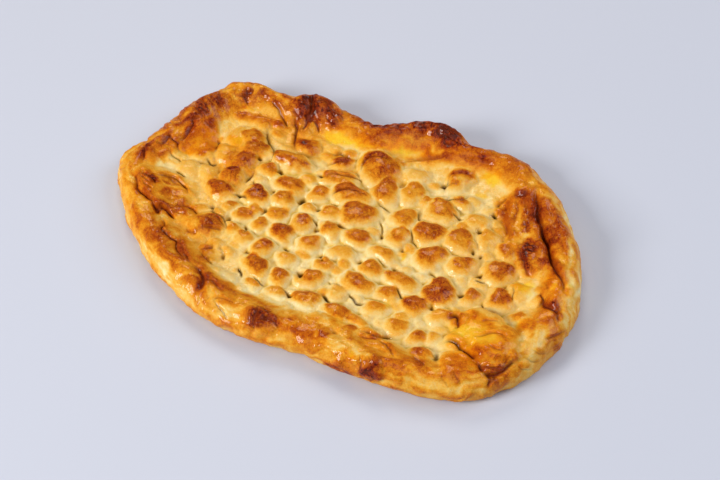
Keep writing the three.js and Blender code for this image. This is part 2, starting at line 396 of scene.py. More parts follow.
FOLDS: tuple[Fold, ...] = (
    # The long fold at the right end: its slit, the strips beside it, the tongue and the lower crease.
    Fold(((130, 80), (136, 70), (143, 60), (149, 52), (154, 47), (163, 32), (170, 23), (178, 14),
          (183, 4)), 2, 5, 1.2, 1, 0.36, 4.5),
    Fold(((141, 63), (146, 56), (151, 50), (158, 41), (165, 30)), 2.8, 5, 0, 1, 0.2, 4.5),
    Fold(((107, 86), (106, 82), (106, 74), (108, 65), (115, 58), (121, 49),
          (125, 41)), 2.4, 1.2, 0.8, 0.2, 0.46, 4),
    Fold(((99, 70), (99, 76), (101, 80), (104, 84)), 1.2, 1.8, 1, 0.35, 0.12),
    Fold(((104, 86), (110, 86), (114, 87), (115, 91)), 2, 1, 0.8, 0.2, 0.34, 3.5),
    Fold(((115, 91), (118, 84), (122, 77), (128, 69), (134, 60)), 2.2, 1.4, 0.4, 0.25, 0.34, 3.5),
    Fold(((122, 94), (127, 86), (132, 74), (138, 65)), 2, 2, 0.8, 0.45, 0.36, 3.5),
    Fold(((132, 45), (136, 35), (142, 27), (149, 21), (154, 16)), 1, 1.4, 1.2, 0.35, 0.3),
    Fold(((132, 90), (143, 75), (159, 55), (173, 35)), 1.2, 0.8, 0.8, 0.1, 0.16, 4),
    Fold(((106, 86), (111, 86), (115, 85), (117, 88), (116, 92)), 1.3, 1.8, 0.8, 0.7, 0.2),
    Fold(((136, 43), (142, 40), (147, 40)), 1.4, 1.2, 0.6, 0.6, 0.26),
    Fold(((133, 48), (141, 46), (149, 42)), 1, 1, 1, 0.3, 0.12),
    Fold(((163, 16), (168, 10), (171, 6)), 1, 1, 1, 0.3, 0.1, 2.5),
    Fold(((112, 82), (117, 74), (121, 66), (123, 57)), 2.2, 1, 0, 0, -0.1, 2.8),
    Fold(((119, 91), (124, 80), (130, 69), (137, 58)), 1, -0.4, 0, 0, 0.06, 2.4),
    Fold(((124, 88), (129, 79), (134, 70), (140, 61)), 1.8, 1.2, 0.8, 0.55, 0.3, 2.4),
    Fold(((112, 84), (114, 76), (117, 68), (120, 60)), 0.9, 1, 0.2, 0.4, 0.24, 2),
    Fold(((126, 66), (130, 60), (133, 53)), 0.9, 1, 0.2, 0.5, 0.26),
    Fold(((147, 65), (152, 59), (158, 52), (160, 49)), 0.8, 1, 0.8, 0.25, 0.12, 4),
    Fold(((155, 62), (161, 54), (167, 44)), 0.8, 0.8, 0.6, 0.15, 0.1, 4),
    Fold(((169, -10), (170, -3), (174, -6), (180, -9), (184, -9), (186, -4)), 2, 3, 1.5, 0.95, 0.26, 4),
    Fold(((171, -3), (168, 1), (166, 4)), 1.4, 1.8, 0.8, 0.7, 0.16),
    Fold(((182, -9), (186, -14), (188, -17)), 1.3, 1.8, 0.6, 0.6, 0.14),
    Fold(((181, -14), (185, -19), (190, -24)), 0.8, 0.9, 0.6, 0.35, 0.1),
    Fold(((186, -37), (191, -32), (194, -25), (198, -16)), 1.2, 1.2, 0.8, 0.4, 0.14, 4),
    Fold(((196, -38), (201, -28), (205, -18)), 0.8, 0.8, 0.5, 0.2, 0.1, 4),
    # Round the puffed flap at the lower right.
    Fold(((113, -49), (115, -43), (119, -42), (123, -49), (126, -56)), 1.7, 2.8, 2.4, 0.8, 0.24, 3.5),
    Fold(((120, -69), (126, -67), (134, -69), (141, -71), (147, -74),
          (153, -78)), 1.5, 3.2, 2.8, 0.7, 0.2, 4),
    Fold(((152, -76), (155, -81), (159, -84)), 2, 3, 0.8, 0.95, 0.22, 4),
    Fold(((156, -83), (162, -84), (167, -82), (170, -78), (173, -69),
          (178, -62)), 2.1, 3.4, 1.8, 0.95, 0.26, 5),
    Fold(((163, -83), (166, -87), (169, -91)), 1.2, 1.6, 0.5, 0.7, 0.14),
    Fold(((169, -80), (168, -86), (167, -90)), 1, 1.4, 0.5, 0.6, 0.12),
    Fold(((155, -77), (160, -79), (165, -78), (170, -74)), 1, 1.4, 1, 0.6, 0.14),
    Fold(((170, -66), (168, -73), (166, -79)), 0.9, 1.2, 0.8, 0.5, 0.12),
    Fold(((139, -60), (144, -55), (150, -51), (157, -50), (163, -53)), 1.3, 1.3, 1.4, 0.35, 0.16, 3.5),
    Fold(((138, -46), (141, -41), (146, -38), (151, -37)), 1.1, 1.2, 1.2, 0.35, 0.14),
    Fold(((152, -64), (159, -66), (166, -63)), 1, 1, 0.8, 0.35, 0.14),
    Fold(((176, -66), (184, -66), (192, -60)), 0.9, 0.9, 0.6, 0.2, 0.06),
    Fold(((180, -58), (188, -57), (196, -50)), 0.9, 0.9, 0.6, 0.2, 0.06),
    Fold(((180, -50), (189, -48), (198, -42)), 0.9, 0.9, 0.6, 0.2, 0.06),
    Fold(((137, -93), (143, -97), (150, -101)), 1, 1.2, 0.8, 0.35, 0.12),
    Fold(((131, -97), (137, -103), (144, -108)), 0.9, 1, 0.6, 0.25, 0.08),
    # Along the front rim.
    Fold(((60, -91), (67, -87), (75, -88), (79, -83), (86, -79)), 1.3, 1.8, 2, 0.45, 0.18),
    Fold(((64, -94), (71, -92), (79, -91)), 1, 1.2, 0.8, 0.45, 0.16),
    Fold(((78, -91), (84, -93), (91, -98), (97, -103)), 1.1, 1.6, 1, 0.5, 0.12),
    Fold(((105, -91), (113, -94), (120, -98)), 1.1, 1.4, 0.8, 0.45, 0.16),
    Fold(((73, -111), (77, -117), (79, -125)), 0.9, 1.2, 0.8, 0.4, 0.1),
    Fold(((79, -110), (85, -114), (93, -113)), 0.9, 1, 0.8, 0.35, 0.1),
    Fold(((80, -121), (86, -119), (91, -123), (94, -129)), 1.6, 1.6, 0.8, 0.75, 0.22, 4),
    Fold(((52, -134), (62, -130), (71, -130), (80, -132)), 1.4, 1.2, 0.6, 0.5, 0.28, 4),
    Fold(((-14, -107), (-11, -115), (-10, -121), (-7, -128)), 1.7, 2.4, 0.8, 0.95, 0.16),
    Fold(((-11, -116), (-5, -117), (0, -114), (5, -115), (10, -117)), 1.5, 2.4, 1, 0.9, 0.18),
    Fold(((-13, -107), (-6, -110), (-1, -109)), 1, 1.3, 0.8, 0.55, 0.12),
    Fold(((-18, -113), (-15, -119), (-13, -125)), 0.9, 1, 0.6, 0.4, 0.12),
    Fold(((-8, -120), (-4, -122), (-1, -121)), 0.9, 1, 0.6, 0.5, 0.1),
    Fold(((-46, -118), (-41, -122), (-35, -126), (-29, -129)), 1, 1.3, 0.8, 0.45, 0.06),
    Fold(((-46, -119), (-44, -115), (-37, -114), (-28, -114)), 0.8, 1, 0.8, 0.35, 0.08),
    Fold(((-64, -103), (-58, -102), (-50, -106), (-43, -107)), 1.2, 1.4, 1, 0.4, 0.24, 3.5),
    Fold(((-57, -116), (-58, -128)), 0.8, 1, 0.6, 0.2, 0.06, 3.5),
    Fold(((-51, -115), (-53, -127)), 0.8, 1, 0.6, 0.2, 0.06, 3.5),
    Fold(((-79, -108), (-77, -120)), 0.9, 1.1, 0.6, 0.15, 0.06, 3.5),
    Fold(((-73, -107), (-72, -120)), 0.8, 0.9, 0.6, 0.15, 0.04, 3.5),
    # The long crease between the left flaps and the rim.
    Fold(((-170, -33), (-168, -39), (-163, -46), (-156, -51), (-148, -53), (-140, -57),
          (-133, -63)), 1.5, 2.4, 2.2, 0.48, 0.28),
    Fold(((-130, -64), (-124, -67), (-120, -72), (-119, -77), (-111, -80), (-104, -82), (-99, -88),
          (-90, -93), (-82, -98)), 1.6, 2.6, 2.2, 0.48, 0.28),
    Fold(((-106, -75), (-100, -81), (-94, -86), (-85, -93), (-78, -96)), 1, 1.6, 1.2, 0.55, 0.14),
    Fold(((-79, -98), (-71, -100), (-65, -103), (-62, -109), (-61, -120)), 2.4, 3, 1.2, 0.85, 0.26, 4),
    Fold(((-167, -33), (-161, -34), (-155, -36), (-150, -39)), 1.1, 1.4, 0.8, 0.55, 0.14),
    Fold(((-157, -33), (-153, -37), (-149, -41)), 1.2, 1.2, 0.6, 0.6, 0.14),
    Fold(((-160, -43), (-154, -45), (-147, -47)), 1, 1.3, 0.8, 0.45, 0.12),
    Fold(((-164, -39), (-159, -40), (-153, -42)), 0.8, 1, 0.6, 0.35, 0.1),
    Fold(((-141, -57), (-137, -60), (-132, -65)), 2.2, 1.8, 0.8, 0.75, 0.24, 4),
    Fold(((-136, -59), (-134, -56), (-129, -56), (-123, -58), (-116, -63)), 1.1, 1.8, 1.4, 0.5, 0.16),
    Fold(((-159, -31), (-154, -27), (-149, -24), (-142, -23), (-133, -26), (-127, -30),
          (-122, -34)), 1.2, 1.8, 2.6, 0.35, 0.14, 2.5),
    Fold(((-151, -25), (-145, -26), (-140, -27), (-135, -29)), 2, 0.9, 0.5, 0.5, 0.2),
    Fold(((-135, -62), (-134, -57), (-130, -55), (-125, -56), (-118, -62)), 1.2, 2, 1.6, 0.6, 0.2),
    Fold(((-128, -53), (-121, -46), (-114, -43), (-104, -50)), 1.2, 1.2, 1.6, 0.3, 0.2),
    Fold(((-124, -55), (-116, -53), (-112, -51)), 1, 1, 1, 0.3, 0.14, 2.5),
    Fold(((-108, -63), (-99, -65), (-94, -67)), 1.6, 1.2, 1, 0.35, 0.24),
    Fold(((-94, -61), (-90, -57), (-84, -54), (-80, -52)), 1.2, 1.4, 1.4, 0.4, 0.24),
    Fold(((-102, -38), (-91, -40), (-84, -43), (-77, -50)), 1.3, 1.8, 1.8, 0.3, 0.04, 3.5),
    Fold(((-95, -43), (-86, -46), (-80, -50)), 1, 1.2, 1.2, 0.35, 0.18, 2.5),
    Fold(((-85, -76), (-80, -72), (-78, -67)), 0.9, 1.2, 1.2, 0.5, 0.14, 2.5),
    Fold(((-103, -79), (-96, -87), (-90, -90), (-82, -94)), 1, 1.2, 1.6, 0.3, 0.2),
    Fold(((-85, -78), (-76, -83), (-69, -85)), 1.2, 1.6, 1.4, 0.35, 0.16),
    Fold(((-74, -66), (-68, -70), (-65, -76)), 1.4, 2, 1, 0.3),
    Fold(((-128, -84), (-120, -87), (-112, -86)), 0.9, 0.9, 0.8, 0.25, 0.12, 3.5),
    Fold(((-148, -14), (-141, -16), (-135, -19)), 1.4, 2, 1.4, 0.3),
    # The left end: loop, membrane and the wrinkled rim above them.
    Fold(((-177, 8), (-174, 2), (-170, 1), (-169, 5), (-169, 12), (-165, 11), (-160, 10), (-159, 7),
          (-156, 3), (-150, 4)), 1.3, 2.2, 1.2, 0.62, 0.18, 2.5),
    Fold(((-160, 10), (-159, 15), (-158, 23), (-158, 30), (-161, 33), (-158, 37),
          (-154, 39)), 1.1, 2, 1.4, 0.65, 0.18, 2.5),
    Fold(((-153, 38), (-149, 38), (-146, 38), (-142, 39)), 1, 1.4, 1.2, 0.5, 0.12, 2.5),
    Fold(((-184, -7), (-179, -10), (-176, -16), (-172, -23)), 1.4, 2.4, 1.5, 0.6, 0.28, 3.5),
    Fold(((-176, -5), (-178, -9)), 1, 1.6, 0.8, 0.8, 0.14),
    Fold(((-165, 2), (-159, -2), (-154, -3), (-149, -4), (-145, -8)), 0.9, 1.4, 1.6, 0.4),
    Fold(((-188, 22), (-181, 19), (-173, 14)), 0.9, 1.1, 0.8, 0.45, 0.12),
    Fold(((-186, 30), (-180, 27), (-174, 21)), 0.9, 1.1, 0.8, 0.4, 0.12),
    Fold(((-178, 36), (-172, 31), (-166, 25)), 0.9, 1.1, 0.8, 0.35, 0.12),
    Fold(((-196, 8), (-189, 4), (-184, -3)), 1.1, 1.2, 0.8, 0.5, 0.16),
    Fold(((-203, 22), (-198, 16), (-190, 12)), 1, 1.1, 0.8, 0.35, 0.14),
    Fold(((-182, 48), (-175, 42), (-168, 36)), 0.9, 1, 0.8, 0.3, 0.12),
    Fold(((-164, 52), (-158, 47), (-152, 45)), 1.1, 1.3, 1, 0.55, 0.16),
    Fold(((-166, 45), (-160, 43), (-153, 40)), 1, 1.2, 1, 0.55, 0.16),
    Fold(((-170, 58), (-163, 55), (-156, 52)), 0.9, 1.1, 0.8, 0.4, 0.14),
    Fold(((-162, 74), (-155, 67), (-148, 61)), 1.2, 1.4, 1, 0.6, 0.18),
    Fold(((-160, 66), (-153, 62), (-146, 57)), 1, 1.2, 0.8, 0.5, 0.14),
    Fold(((-170, 70), (-163, 66), (-157, 62)), 0.9, 1, 0.8, 0.35, 0.12),
    Fold(((-141, 84), (-137, 82), (-135, 78), (-129, 73)), 1.5, 2.2, 1.2, 0.9, 0.2),
    Fold(((-134, 86), (-133, 83), (-136, 79)), 1, 1.5, 0.8, 0.75, 0.14),
    Fold(((-142, 75), (-138, 77), (-135, 79)), 1, 1.3, 0.8, 0.6, 0.12),
    Fold(((-127, 85), (-125, 88), (-120, 88)), 0.9, 1.1, 0.8, 0.35, 0.12),
    Fold(((-119, 84), (-112, 82), (-105, 81), (-100, 77), (-94, 73), (-90, 71)), 1.1, 2, 2, 0.5, 0.14),
    Fold(((-142, 54), (-133, 62), (-120, 66), (-107, 68), (-94, 69),
          (-86, 67)), 4.5, -1.6, 0, 0, 0.34, 5.5),
    Fold(((-106, 61), (-103, 57), (-98, 50), (-91, 44), (-85, 38), (-84, 32),
          (-86, 26)), 1.4, 2.4, 1.4, 0.45),
    Fold(((-136, 32), (-132, 27), (-129, 17)), 1.8, 2.4, 1),
    Fold(((-131, 8), (-128, 6), (-125, 5), (-122, 9)), 1.5, 2.2, 1, 0.65),
    # The knot at the back.
    Fold(((-88, 104), (-84, 98), (-80, 91), (-78, 86)), 2.6, 5, 1.6, 1, 0.46, 4),
    Fold(((-80, 88), (-77, 85), (-74, 84)), 3.4, 2.4, 0.5, 1, 0.4, 4.5),
    Fold(((-75, 85), (-71, 83), (-68, 80), (-65, 77)), 1.2, 1.8, 0.8, 0.9, 0.14),
    Fold(((-80, 85), (-78, 78), (-77, 71)), 1.2, 1.8, 0.8, 0.85, 0.14),
    Fold(((-93, 79), (-87, 77), (-82, 73), (-80, 66), (-76, 57), (-71, 50)), 1.6, 2.8, 1.8, 0.75, 0.16),
    Fold(((-91, 93), (-86, 91), (-82, 88), (-80, 85)), 1, 1.3, 1, 0.55, 0.12),
    Fold(((-94, 83), (-88, 81), (-82, 79)), 0.9, 1.2, 0.8, 0.45, 0.12),
    Fold(((-81, 94), (-76, 97), (-70, 99), (-64, 97)), 1.1, 1.3, 1, 0.75, 0.14),
    Fold(((-72, 98), (-66, 96), (-60, 93), (-56, 90)), 0.9, 1.1, 0.8, 0.65, 0.12),
    Fold(((-68, 101), (-62, 98), (-56, 95)), 0.9, 1, 0.8, 0.5, 0.1),
    Fold(((-66, 90), (-60, 87), (-54, 85)), 0.9, 1.1, 0.8, 0.6, 0.1),
    Fold(((-61, 93), (-56, 91), (-51, 89)), 0.8, 1, 0.8, 0.5, 0.08),
    Fold(((-61, 97), (-55, 94), (-49, 92)), 0.8, 1, 0.8, 0.4, 0.08),
    # Back rim and blisters.
    Fold(((-36, 92), (-31, 98), (-26, 106)), 1, 1, 0.8, 0.2, 0.16),
    Fold(((-28, 92), (-24, 98), (-20, 105)), 1, 1, 0.8, 0.2, 0.18),
    Fold(((-45, 92), (-40, 98), (-36, 104)), 0.9, 0.9, 0.8, 0.15, 0.12),
    Fold(((-30, 102), (-16, 100), (-5, 102), (4, 104)), 1.4, 1.2, 0.8, 0.3, 0.3, 3.5),
    Fold(((-18, 93), (-6, 95), (3, 99)), 1.4, 0.9, 0.8, 0.2, 0.24, 3.5),
    Fold(((4, 108), (9, 110), (14, 112), (20, 113)), 1.2, 1.6, 1.4, 0.4, 0.26),
    Fold(((19, 112), (24, 116), (30, 118), (37, 118), (43, 118), (49, 116)), 1.4, 1.6, 1.4, 0.7, 0.34, 3.5),
    Fold(((22, 108), (30, 112), (38, 113), (46, 111)), 1.2, 1.2, 1.2, 0.45, 0.26),
    Fold(((48, 102), (60, 104), (72, 107), (83, 105)), 1.4, 0.9, 0.8, 0.15, 0.22, 3.5),
    Fold(((24, 112), (28, 111), (31, 109)), 1.6, 1.4, 0.6, 0.8, 0.2),
    Fold(((32, 108), (38, 107), (45, 109)), 1.2, 1.4, 1, 0.5, 0.22, 3.5),
    Fold(((-13, 52), (-14, 58), (-14, 64), (-10, 69), (-2, 71), (7, 72)), 1.3, 2.2, 1.8, 0.4, 0.1, 2.5),
    Fold(((43, 99), (36, 95), (29, 90), (21, 86), (14, 81), (8, 76)), 1.4, 2.2, 2.2, 0.4, 0.12),
    Fold(((20, 88), (30, 94), (40, 99), (50, 101)), 3, -1.2, 0, 0, 0.28, 4),
    Fold(((-44, 61), (-38, 65), (-32, 64), (-26, 62)), 1.1, 1.6, 1.4, 0.4, 0.12, 2.5),
    Fold(((-42, 49), (-37, 52), (-31, 55), (-25, 58)), 1.1, 1.8, 1.4, 0.4, 0.1, 2.5),
    Fold(((-39, 30), (-35, 35), (-30, 39), (-22, 42), (-13, 44), (-6, 46)), 1.2, 2.2, 1.6, 0.45, 0.1, 2.5),
    Fold(((-22, 19), (-20, 24), (-13, 29), (-5, 32), (3, 31)), 1.2, 2.2, 1.6, 0.45, 0.1, 2.5),
    Fold(((54, 77), (53, 84), (57, 88), (63, 90), (69, 96)), 1.2, 1.4, 1, 0.25, 0.24),
    Fold(((55, 75), (59, 76), (63, 79)), 1.1, 1.2, 0.6, 0.3, 0.12),
    Fold(((57, 55), (63, 60), (71, 64), (75, 71)), 1.1, 2, 1.4, 0.45),
    Fold(((70, 47), (76, 46), (83, 46)), 1.2, 2, 1, 0.45),
    # Slits between pillows, whose lines carry painted shade.
    Fold(((50, 18), (56, 10), (62, 5)), 1.2, 2.6, 0.5, 0.3),
    Fold(((46, 38), (49, 33), (54, 27)), 1.4, 2.6, 0.5, 0.32),
    Fold(((22, 17), (29, 11), (33, 2)), 1.3, 2.6, 0.5, 0.3),
    Fold(((12, 31), (20, 29), (29, 26)), 1.2, 2.2, 0.5, 0.3),
    Fold(((-5, -5), (2, -4), (8, -6)), 1.2, 2.4, 0.5, 0.32),
    Fold(((16, -57), (20, -58), (25, -54)), 1.2, 2.4, 0.5, 0.35),
    Fold(((36, -61), (42, -63), (47, -65), (54, -64)), 1.3, 2.6, 1, 0.7),
    Fold(((66, -39), (70, -43), (74, -46), (79, -48)), 1.4, 2.8, 0.8),
    Fold(((-50, -76), (-47, -80), (-42, -84)), 1.6, 2.8, 1, 0.75),
    Fold(((-34, -80), (-28, -85), (-24, -84)), 1.2, 2.4, 0.8, 0.45),
    Fold(((-10, -80), (-5, -82), (0, -83)), 1.3, 2.4, 0.8, 0.5),
    Fold(((18, -70), (24, -72), (31, -77)), 1.8, 2.6, 0.5, 0.65),
    Fold(((119, -77), (121, -82), (123, -88)), 2, 2.4, 0.5, 0.55),
    Fold(((-90, 15), (-90, 9), (-91, 5), (-92, 0)), 1.3, 2.6, 0.5, 0.55),
    Fold(((-87, 8), (-83, 2), (-81, -3)), 1.3, 2.4, 0.5, 0.35),
    Fold(((-76, 20), (-72, 24), (-68, 22)), 1.3, 2.4, 0.5, 0.5),
    Fold(((-67, 4), (-64, 3), (-66, -3)), 1.2, 2.4, 0.5, 0.4),
    Fold(((-63, -17), (-60, -19), (-62, -24)), 1.2, 2.2, 0.5, 0.4),
    Fold(((-92, -17), (-88, -13), (-83, -13), (-79, -16)), 1.3, 2.4, 0.8, 0.65),
    Fold(((-101, -32), (-97, -38), (-94, -36)), 1.4, 2.4, 0.5, 0.4),
    Fold(((-69, -38), (-66, -42), (-62, -48)), 1.3, 2.4, 0.5, 0.35),
    Fold(((-75, -79), (-72, -83), (-68, -86)), 1.2, 1.8, 0.8, 0.35),
    Fold(((-24, -9), (-19, -11), (-15, -15)), 1.2, 2.2, 0.5, 0.35),
    Fold(((80, -13), (86, -14), (89, -18)), 1.2, 2, 0.5, 0.35),
    Fold(((115, -4), (119, -4), (125, -4)), 1.1, 2, 0.8, 0.55),
    Fold(((129, -19), (132, -25), (135, -31)), 1.2, 2, 0.8, 0.45),
    Fold(((145, 3), (147, -4), (149, -12)), 1.2, 2, 0.8, 0.35),
    Fold(((96, 42), (100, 40), (104, 41)), 1.3, 2.2, 0.8, 0.5),
    Fold(((98, 62), (101, 64), (105, 62)), 1, 1.4, 0.8, 0.7),
)

# Pits where a finger tip went almost through: place, radius, depth and the darkness of their painted shade.
PITS: tuple[Pit, ...] = (
    Pit(32, 2, 1.6, 3, 0.5), Pit(57, -23, 2.1, 4.5, 0.85), Pit(30, -28, 2.1, 4.5, 0.8),
    Pit(0, -37, 2, 4.5, 0.85), Pit(3, -42, 1.6, 3, 0.7), Pit(-5, -61, 2.7, 6, 1),
    Pit(-28, -43, 1.9, 4, 0.6), Pit(-41, 6, 2.6, 5, 0.75), Pit(-24, 3, 2, 3, 0.4),
    Pit(-73, 24, 2.2, 3, 0.6), Pit(52, 73, 2.4, 3.5, 0.75), Pit(117, 2, 2.2, 4.5, 0.85),
    Pit(101, 63, 1.8, 3, 0.95), Pit(109, 20, 1.8, 3, 0.5), Pit(101, 21, 1.8, 3, 0.6),
    Pit(99, 41, 2, 3.5, 0.65), Pit(98, -43, 2, 3.5, 0.45), Pit(-52, -60, 1.8, 3, 0.4),
    Pit(121, -83, 2.4, 3, 0.45), Pit(-2, -83, 2, 3, 0.6), Pit(46, -100, 1.8, 2.5, 0.35),
    Pit(-15, -16, 2, 3, 0.35), Pit(-61, -18, 1.6, 3, 0.45), Pit(112, -22, 2.2, 3, 0.6),
    Pit(54, -3, 1.4, 2, 0.45), Pit(-1, -5, 1.6, 2.5, 0.35), Pit(-40, 36, 2, 3, 0.5),
    Pit(-83, -39, 2, 3, 0.5), Pit(-100, -34, 1.8, 2.5, 0.45), Pit(-67, -72, 2.2, 3, 0.35),
    Pit(-94, 28, 1.6, 2, 0.4),
)

# Broad changes of the bake under the pillows: the middle stayed pale, the edges took colour.
GROUND_PATCHES: tuple[Patch, ...] = (
    Patch(0, -22, 190, 110, -0.1, 0, 0.8), Patch(-25, -90, 60, 16, -0.08, 0, 0.6),
    Patch(60, 66, 60, 30, -0.04, -15, 0.8), Patch(-132, 0, 30, 20, -0.06, 0, 0.7),
    Patch(-128, 48, 20, 14, 0.06, 0, 0.7), Patch(-148, -15, 40, 12, -0.08, -10, 0.6),
    Patch(0, 88, 230, 30, 0.1, 2, 0.8), Patch(-80, 74, 70, 60, 0.2, 10, 0.8),
    Patch(-45, 54, 70, 26, 0.14, -10, 0.8), Patch(136, 5, 70, 80, 0.08, 0, 0.8),
    Patch(140, -52, 70, 54, 0.06, -20, 0.7), Patch(60, -88, 130, 34, -0.03, 0, 0.8),
    Patch(-120, 10, 70, 80, 0.05, 0, 0.8), Patch(-100, -66, 90, 50, 0.2, -15, 0.8),
    Patch(-145, -42, 60, 44, 0.2, -20, 0.7), Patch(-108, 14, 30, 90, 0.12, 5, 0.8),
    Patch(75, 25, 110, 50, 0.06, 0, 0.8), Patch(122, 60, 40, 80, 0.16, 35, 0.7),
    Patch(-125, -5, 100, 110, 0.11, 0, 0.7),
)

# Where the crust is browner, or paler, than its surroundings. A few of the pale patches are painted
# highlights and painted sheen, noted above their rows.
BAKE_PATCHES: tuple[Patch, ...] = (
    # The fold at the right end.
    # Patch(148, 30) is painted sheen on the fold's blister.
    Patch(154, 44, 38, 10, 0.2, -52), Patch(145, 34, 36, 21, 0.49, -60), Patch(148, 30, 16, 7, -0.22, -60),
    # Patch(133, 51) is a painted highlight.
    Patch(124, 72, 48, 30, 0.15, -60, 0.7), Patch(133, 51, 12, 7, -0.14, -15),
    Patch(170, 24, 26, 9, 0.12, -60), Patch(156, 64, 24, 10, 0.18, -55), Patch(141, 80, 26, 9, 0.2, -55),
    Patch(178, -6, 18, 9, 0.22, -15), Patch(164, 10, 26, 12, 0.1, -60), Patch(165, 84, 40, 24, -0.1, -50),
    Patch(190, 20, 20, 60, -0.08, 12), Patch(193, -28, 8, 22, 0.12, 40), Patch(128, 33, 16, 16, 0.08),
    Patch(138, 24, 12, 14, 0.12, -40), Patch(200, -12, 14, 40, -0.03, 20), Patch(152, 3, 18, 16, -0.18),
    # The puffed flap and the corner under it.
    Patch(150, -62, 84, 64, -0.1, -20, 0.7), Patch(119, -45, 12, 7, 0.26, -35),
    Patch(144, -54, 50, 36, 0.05, -18), Patch(150, -44, 14, 8, 0.14, 20), Patch(135, -42, 30, 15, 0.2, -10),
    Patch(159, -62, 24, 16, -0.14, -20), Patch(160, -62, 20, 12, 0.06, -10), Patch(163, -72, 16, 8, 0.14),
    Patch(162, -79, 16, 5, 0.14, -5), Patch(172, -76, 18, 5, 0.12, 55), Patch(138, -82, 16, 26, 0.06, 12),
    Patch(140, -97, 20, 9, 0.12, -15), Patch(152, -104, 14, 8, -0.12), Patch(176, -46, 18, 30, -0.12, -20),
    Patch(178, -84, 24, 12, 0.14, 60), Patch(192, -60, 20, 30, -0.08, 40),
    # Along the front rim.
    Patch(0, -94, 100, 13, -0.13, 0, 0.7), Patch(70, -89, 24, 6, 0.14, 6),
    Patch(88, -88, 16, 10, 0.06, -25), Patch(88, -122, 18, 10, 0.3, -30), Patch(81, -115, 24, 12, 0.1, -8),
    Patch(66, -131, 30, 8, 0.28), Patch(110, -92, 18, 10, 0.08), Patch(24, -115, 26, 8, 0.24, 5),
    Patch(41, -106, 11, 7, 0.26), Patch(30, -124, 16, 10, 0.1), Patch(57, -112, 30, 14, -0.2, -5),
    Patch(12, -124, 12, 10, -0.1), Patch(-7, -117, 20, 24, 0.22), Patch(4, -114, 14, 5, 0.26),
    Patch(-63, -106, 9, 18, 0.3, -10), Patch(-80, -97, 14, 6, 0.1, -20), Patch(-38, -100, 30, 8, 0.12, -10),
    Patch(-55, -122, 22, 14, -0.06), Patch(-30, -124, 20, 12, -0.1), Patch(48, -86, 26, 12, 0.08),
    # Patch(-99, -107) is a painted highlight on the rim.
    Patch(45, -80, 26, 5, 0.12, -4), Patch(38, -97, 20, 7, -0.1), Patch(-99, -107, 18, 12, -0.26, -30),
    Patch(-130, -104, 40, 16, -0.14, -30), Patch(-80, -122, 40, 16, -0.1, -20),
    Patch(100, -110, 24, 9, 0.1, -20), Patch(76, -110, 18, 4, -0.2, -10),
    # The lower left flaps.
    Patch(-160, -35, 14, 9, 0.22, -40), Patch(-156, -34, 6, 5, 0.2), Patch(-143, -27, 22, 5, 0.22, -10),
    Patch(-136, -61, 9, 8, 0.26), Patch(-124, -86, 16, 14, 0.26, -10), Patch(-92, -57, 18, 12, 0.14),
    # Patch(-107, -78) is a painted highlight.
    Patch(-80, -77, 16, 12, 0.12), Patch(-107, -78, 12, 7, -0.14, -30), Patch(-94, -80, 30, 8, 0.1, -38),
    Patch(-76, -88, 20, 10, 0.08, -50), Patch(-117, -50, 16, 7, 0.1), Patch(-134, -40, 24, 8, 0.1, -10),
    # The left end.
    Patch(-150, -30, 70, 90, -0.06, 0, 0.8), Patch(-164, -8, 9, 8, 0.26),
    Patch(-180, -15, 12, 18, 0.26, 25), Patch(-145, 23, 28, 40, 0.22, 6, 0.3),
    Patch(-103, 14, 30, 66, 0.12, 5, 0.7), Patch(-172, 4, 10, 9, 0.12), Patch(-157, 42, 18, 12, 0.14),
    Patch(-153, 64, 16, 12, 0.1, -20), Patch(-176, 60, 24, 20, -0.1, -45),
    Patch(-166, 30, 12, 22, 0.08, 40), Patch(-178, 28, 16, 14, 0.04), Patch(-143, 58, 8, 8, -0.24),
    Patch(-135, 80, 12, 11, 0.18), Patch(-127, 64, 26, 9, 0.16), Patch(-112, 77, 18, 9, -0.06, -10),
    Patch(-98, 88, 14, 9, 0.1), Patch(-186, 14, 20, 18, 0.08), Patch(-145, 40, 12, 8, 0.12),
    Patch(-163, 104, 20, 8, 0.08), Patch(-131, 70, 14, 5, -0.12),
    # The knot and the back rim.
    Patch(-10, 102, 190, 40, 0.02, 4, 0.7), Patch(-50, 78, 28, 12, -0.14), Patch(-24, 79, 30, 11, -0.14, 3),
    Patch(2, 86, 28, 8, -0.12, 14), Patch(87, 94, 16, 10, -0.1), Patch(-85, 88, 16, 22, 0.2),
    Patch(-66, 93, 26, 20, 0.24), Patch(-77, 84, 12, 9, 0.26), Patch(-90, 79, 16, 8, 0.14),
    Patch(-72, 62, 16, 20, 0.1, 30), Patch(-62, 58, 22, 6, 0.22, -4), Patch(-90, 110, 24, 10, 0.1, 20),
    Patch(-26, 98, 24, 9, 0.26, 6), Patch(0, 102, 14, 6, 0.2), Patch(31, 112, 36, 8, 0.2, 4),
    # Patch(19, 100) and Patch(33, 102) are painted sheen on the back blister.
    Patch(19, 100, 24, 8, -0.22, 4), Patch(33, 102, 18, 8, -0.18), Patch(42, 108, 22, 10, 0.25),
    Patch(66, 108, 30, 14, 0.1), Patch(26, 123, 54, 12, 0.18, 2), Patch(-20, 108, 60, 12, 0.1, 6),
    Patch(98, 110, 26, 16, 0.06), Patch(120, 112, 20, 26, -0.16, -30), Patch(140, 92, 16, 30, -0.06, 30),
    Patch(65, 91, 14, 9, 0.26), Patch(60, 81, 10, 8, -0.14), Patch(34, 94, 26, 8, 0.12, 30),
    Patch(10, 76, 22, 8, 0.22), Patch(10, 62, 26, 16, 0.16), Patch(-30, 60, 16, 8, 0.2),
    Patch(-25, 46, 24, 8, 0.16, 20), Patch(-66, 34, 30, 5, 0.24),
)

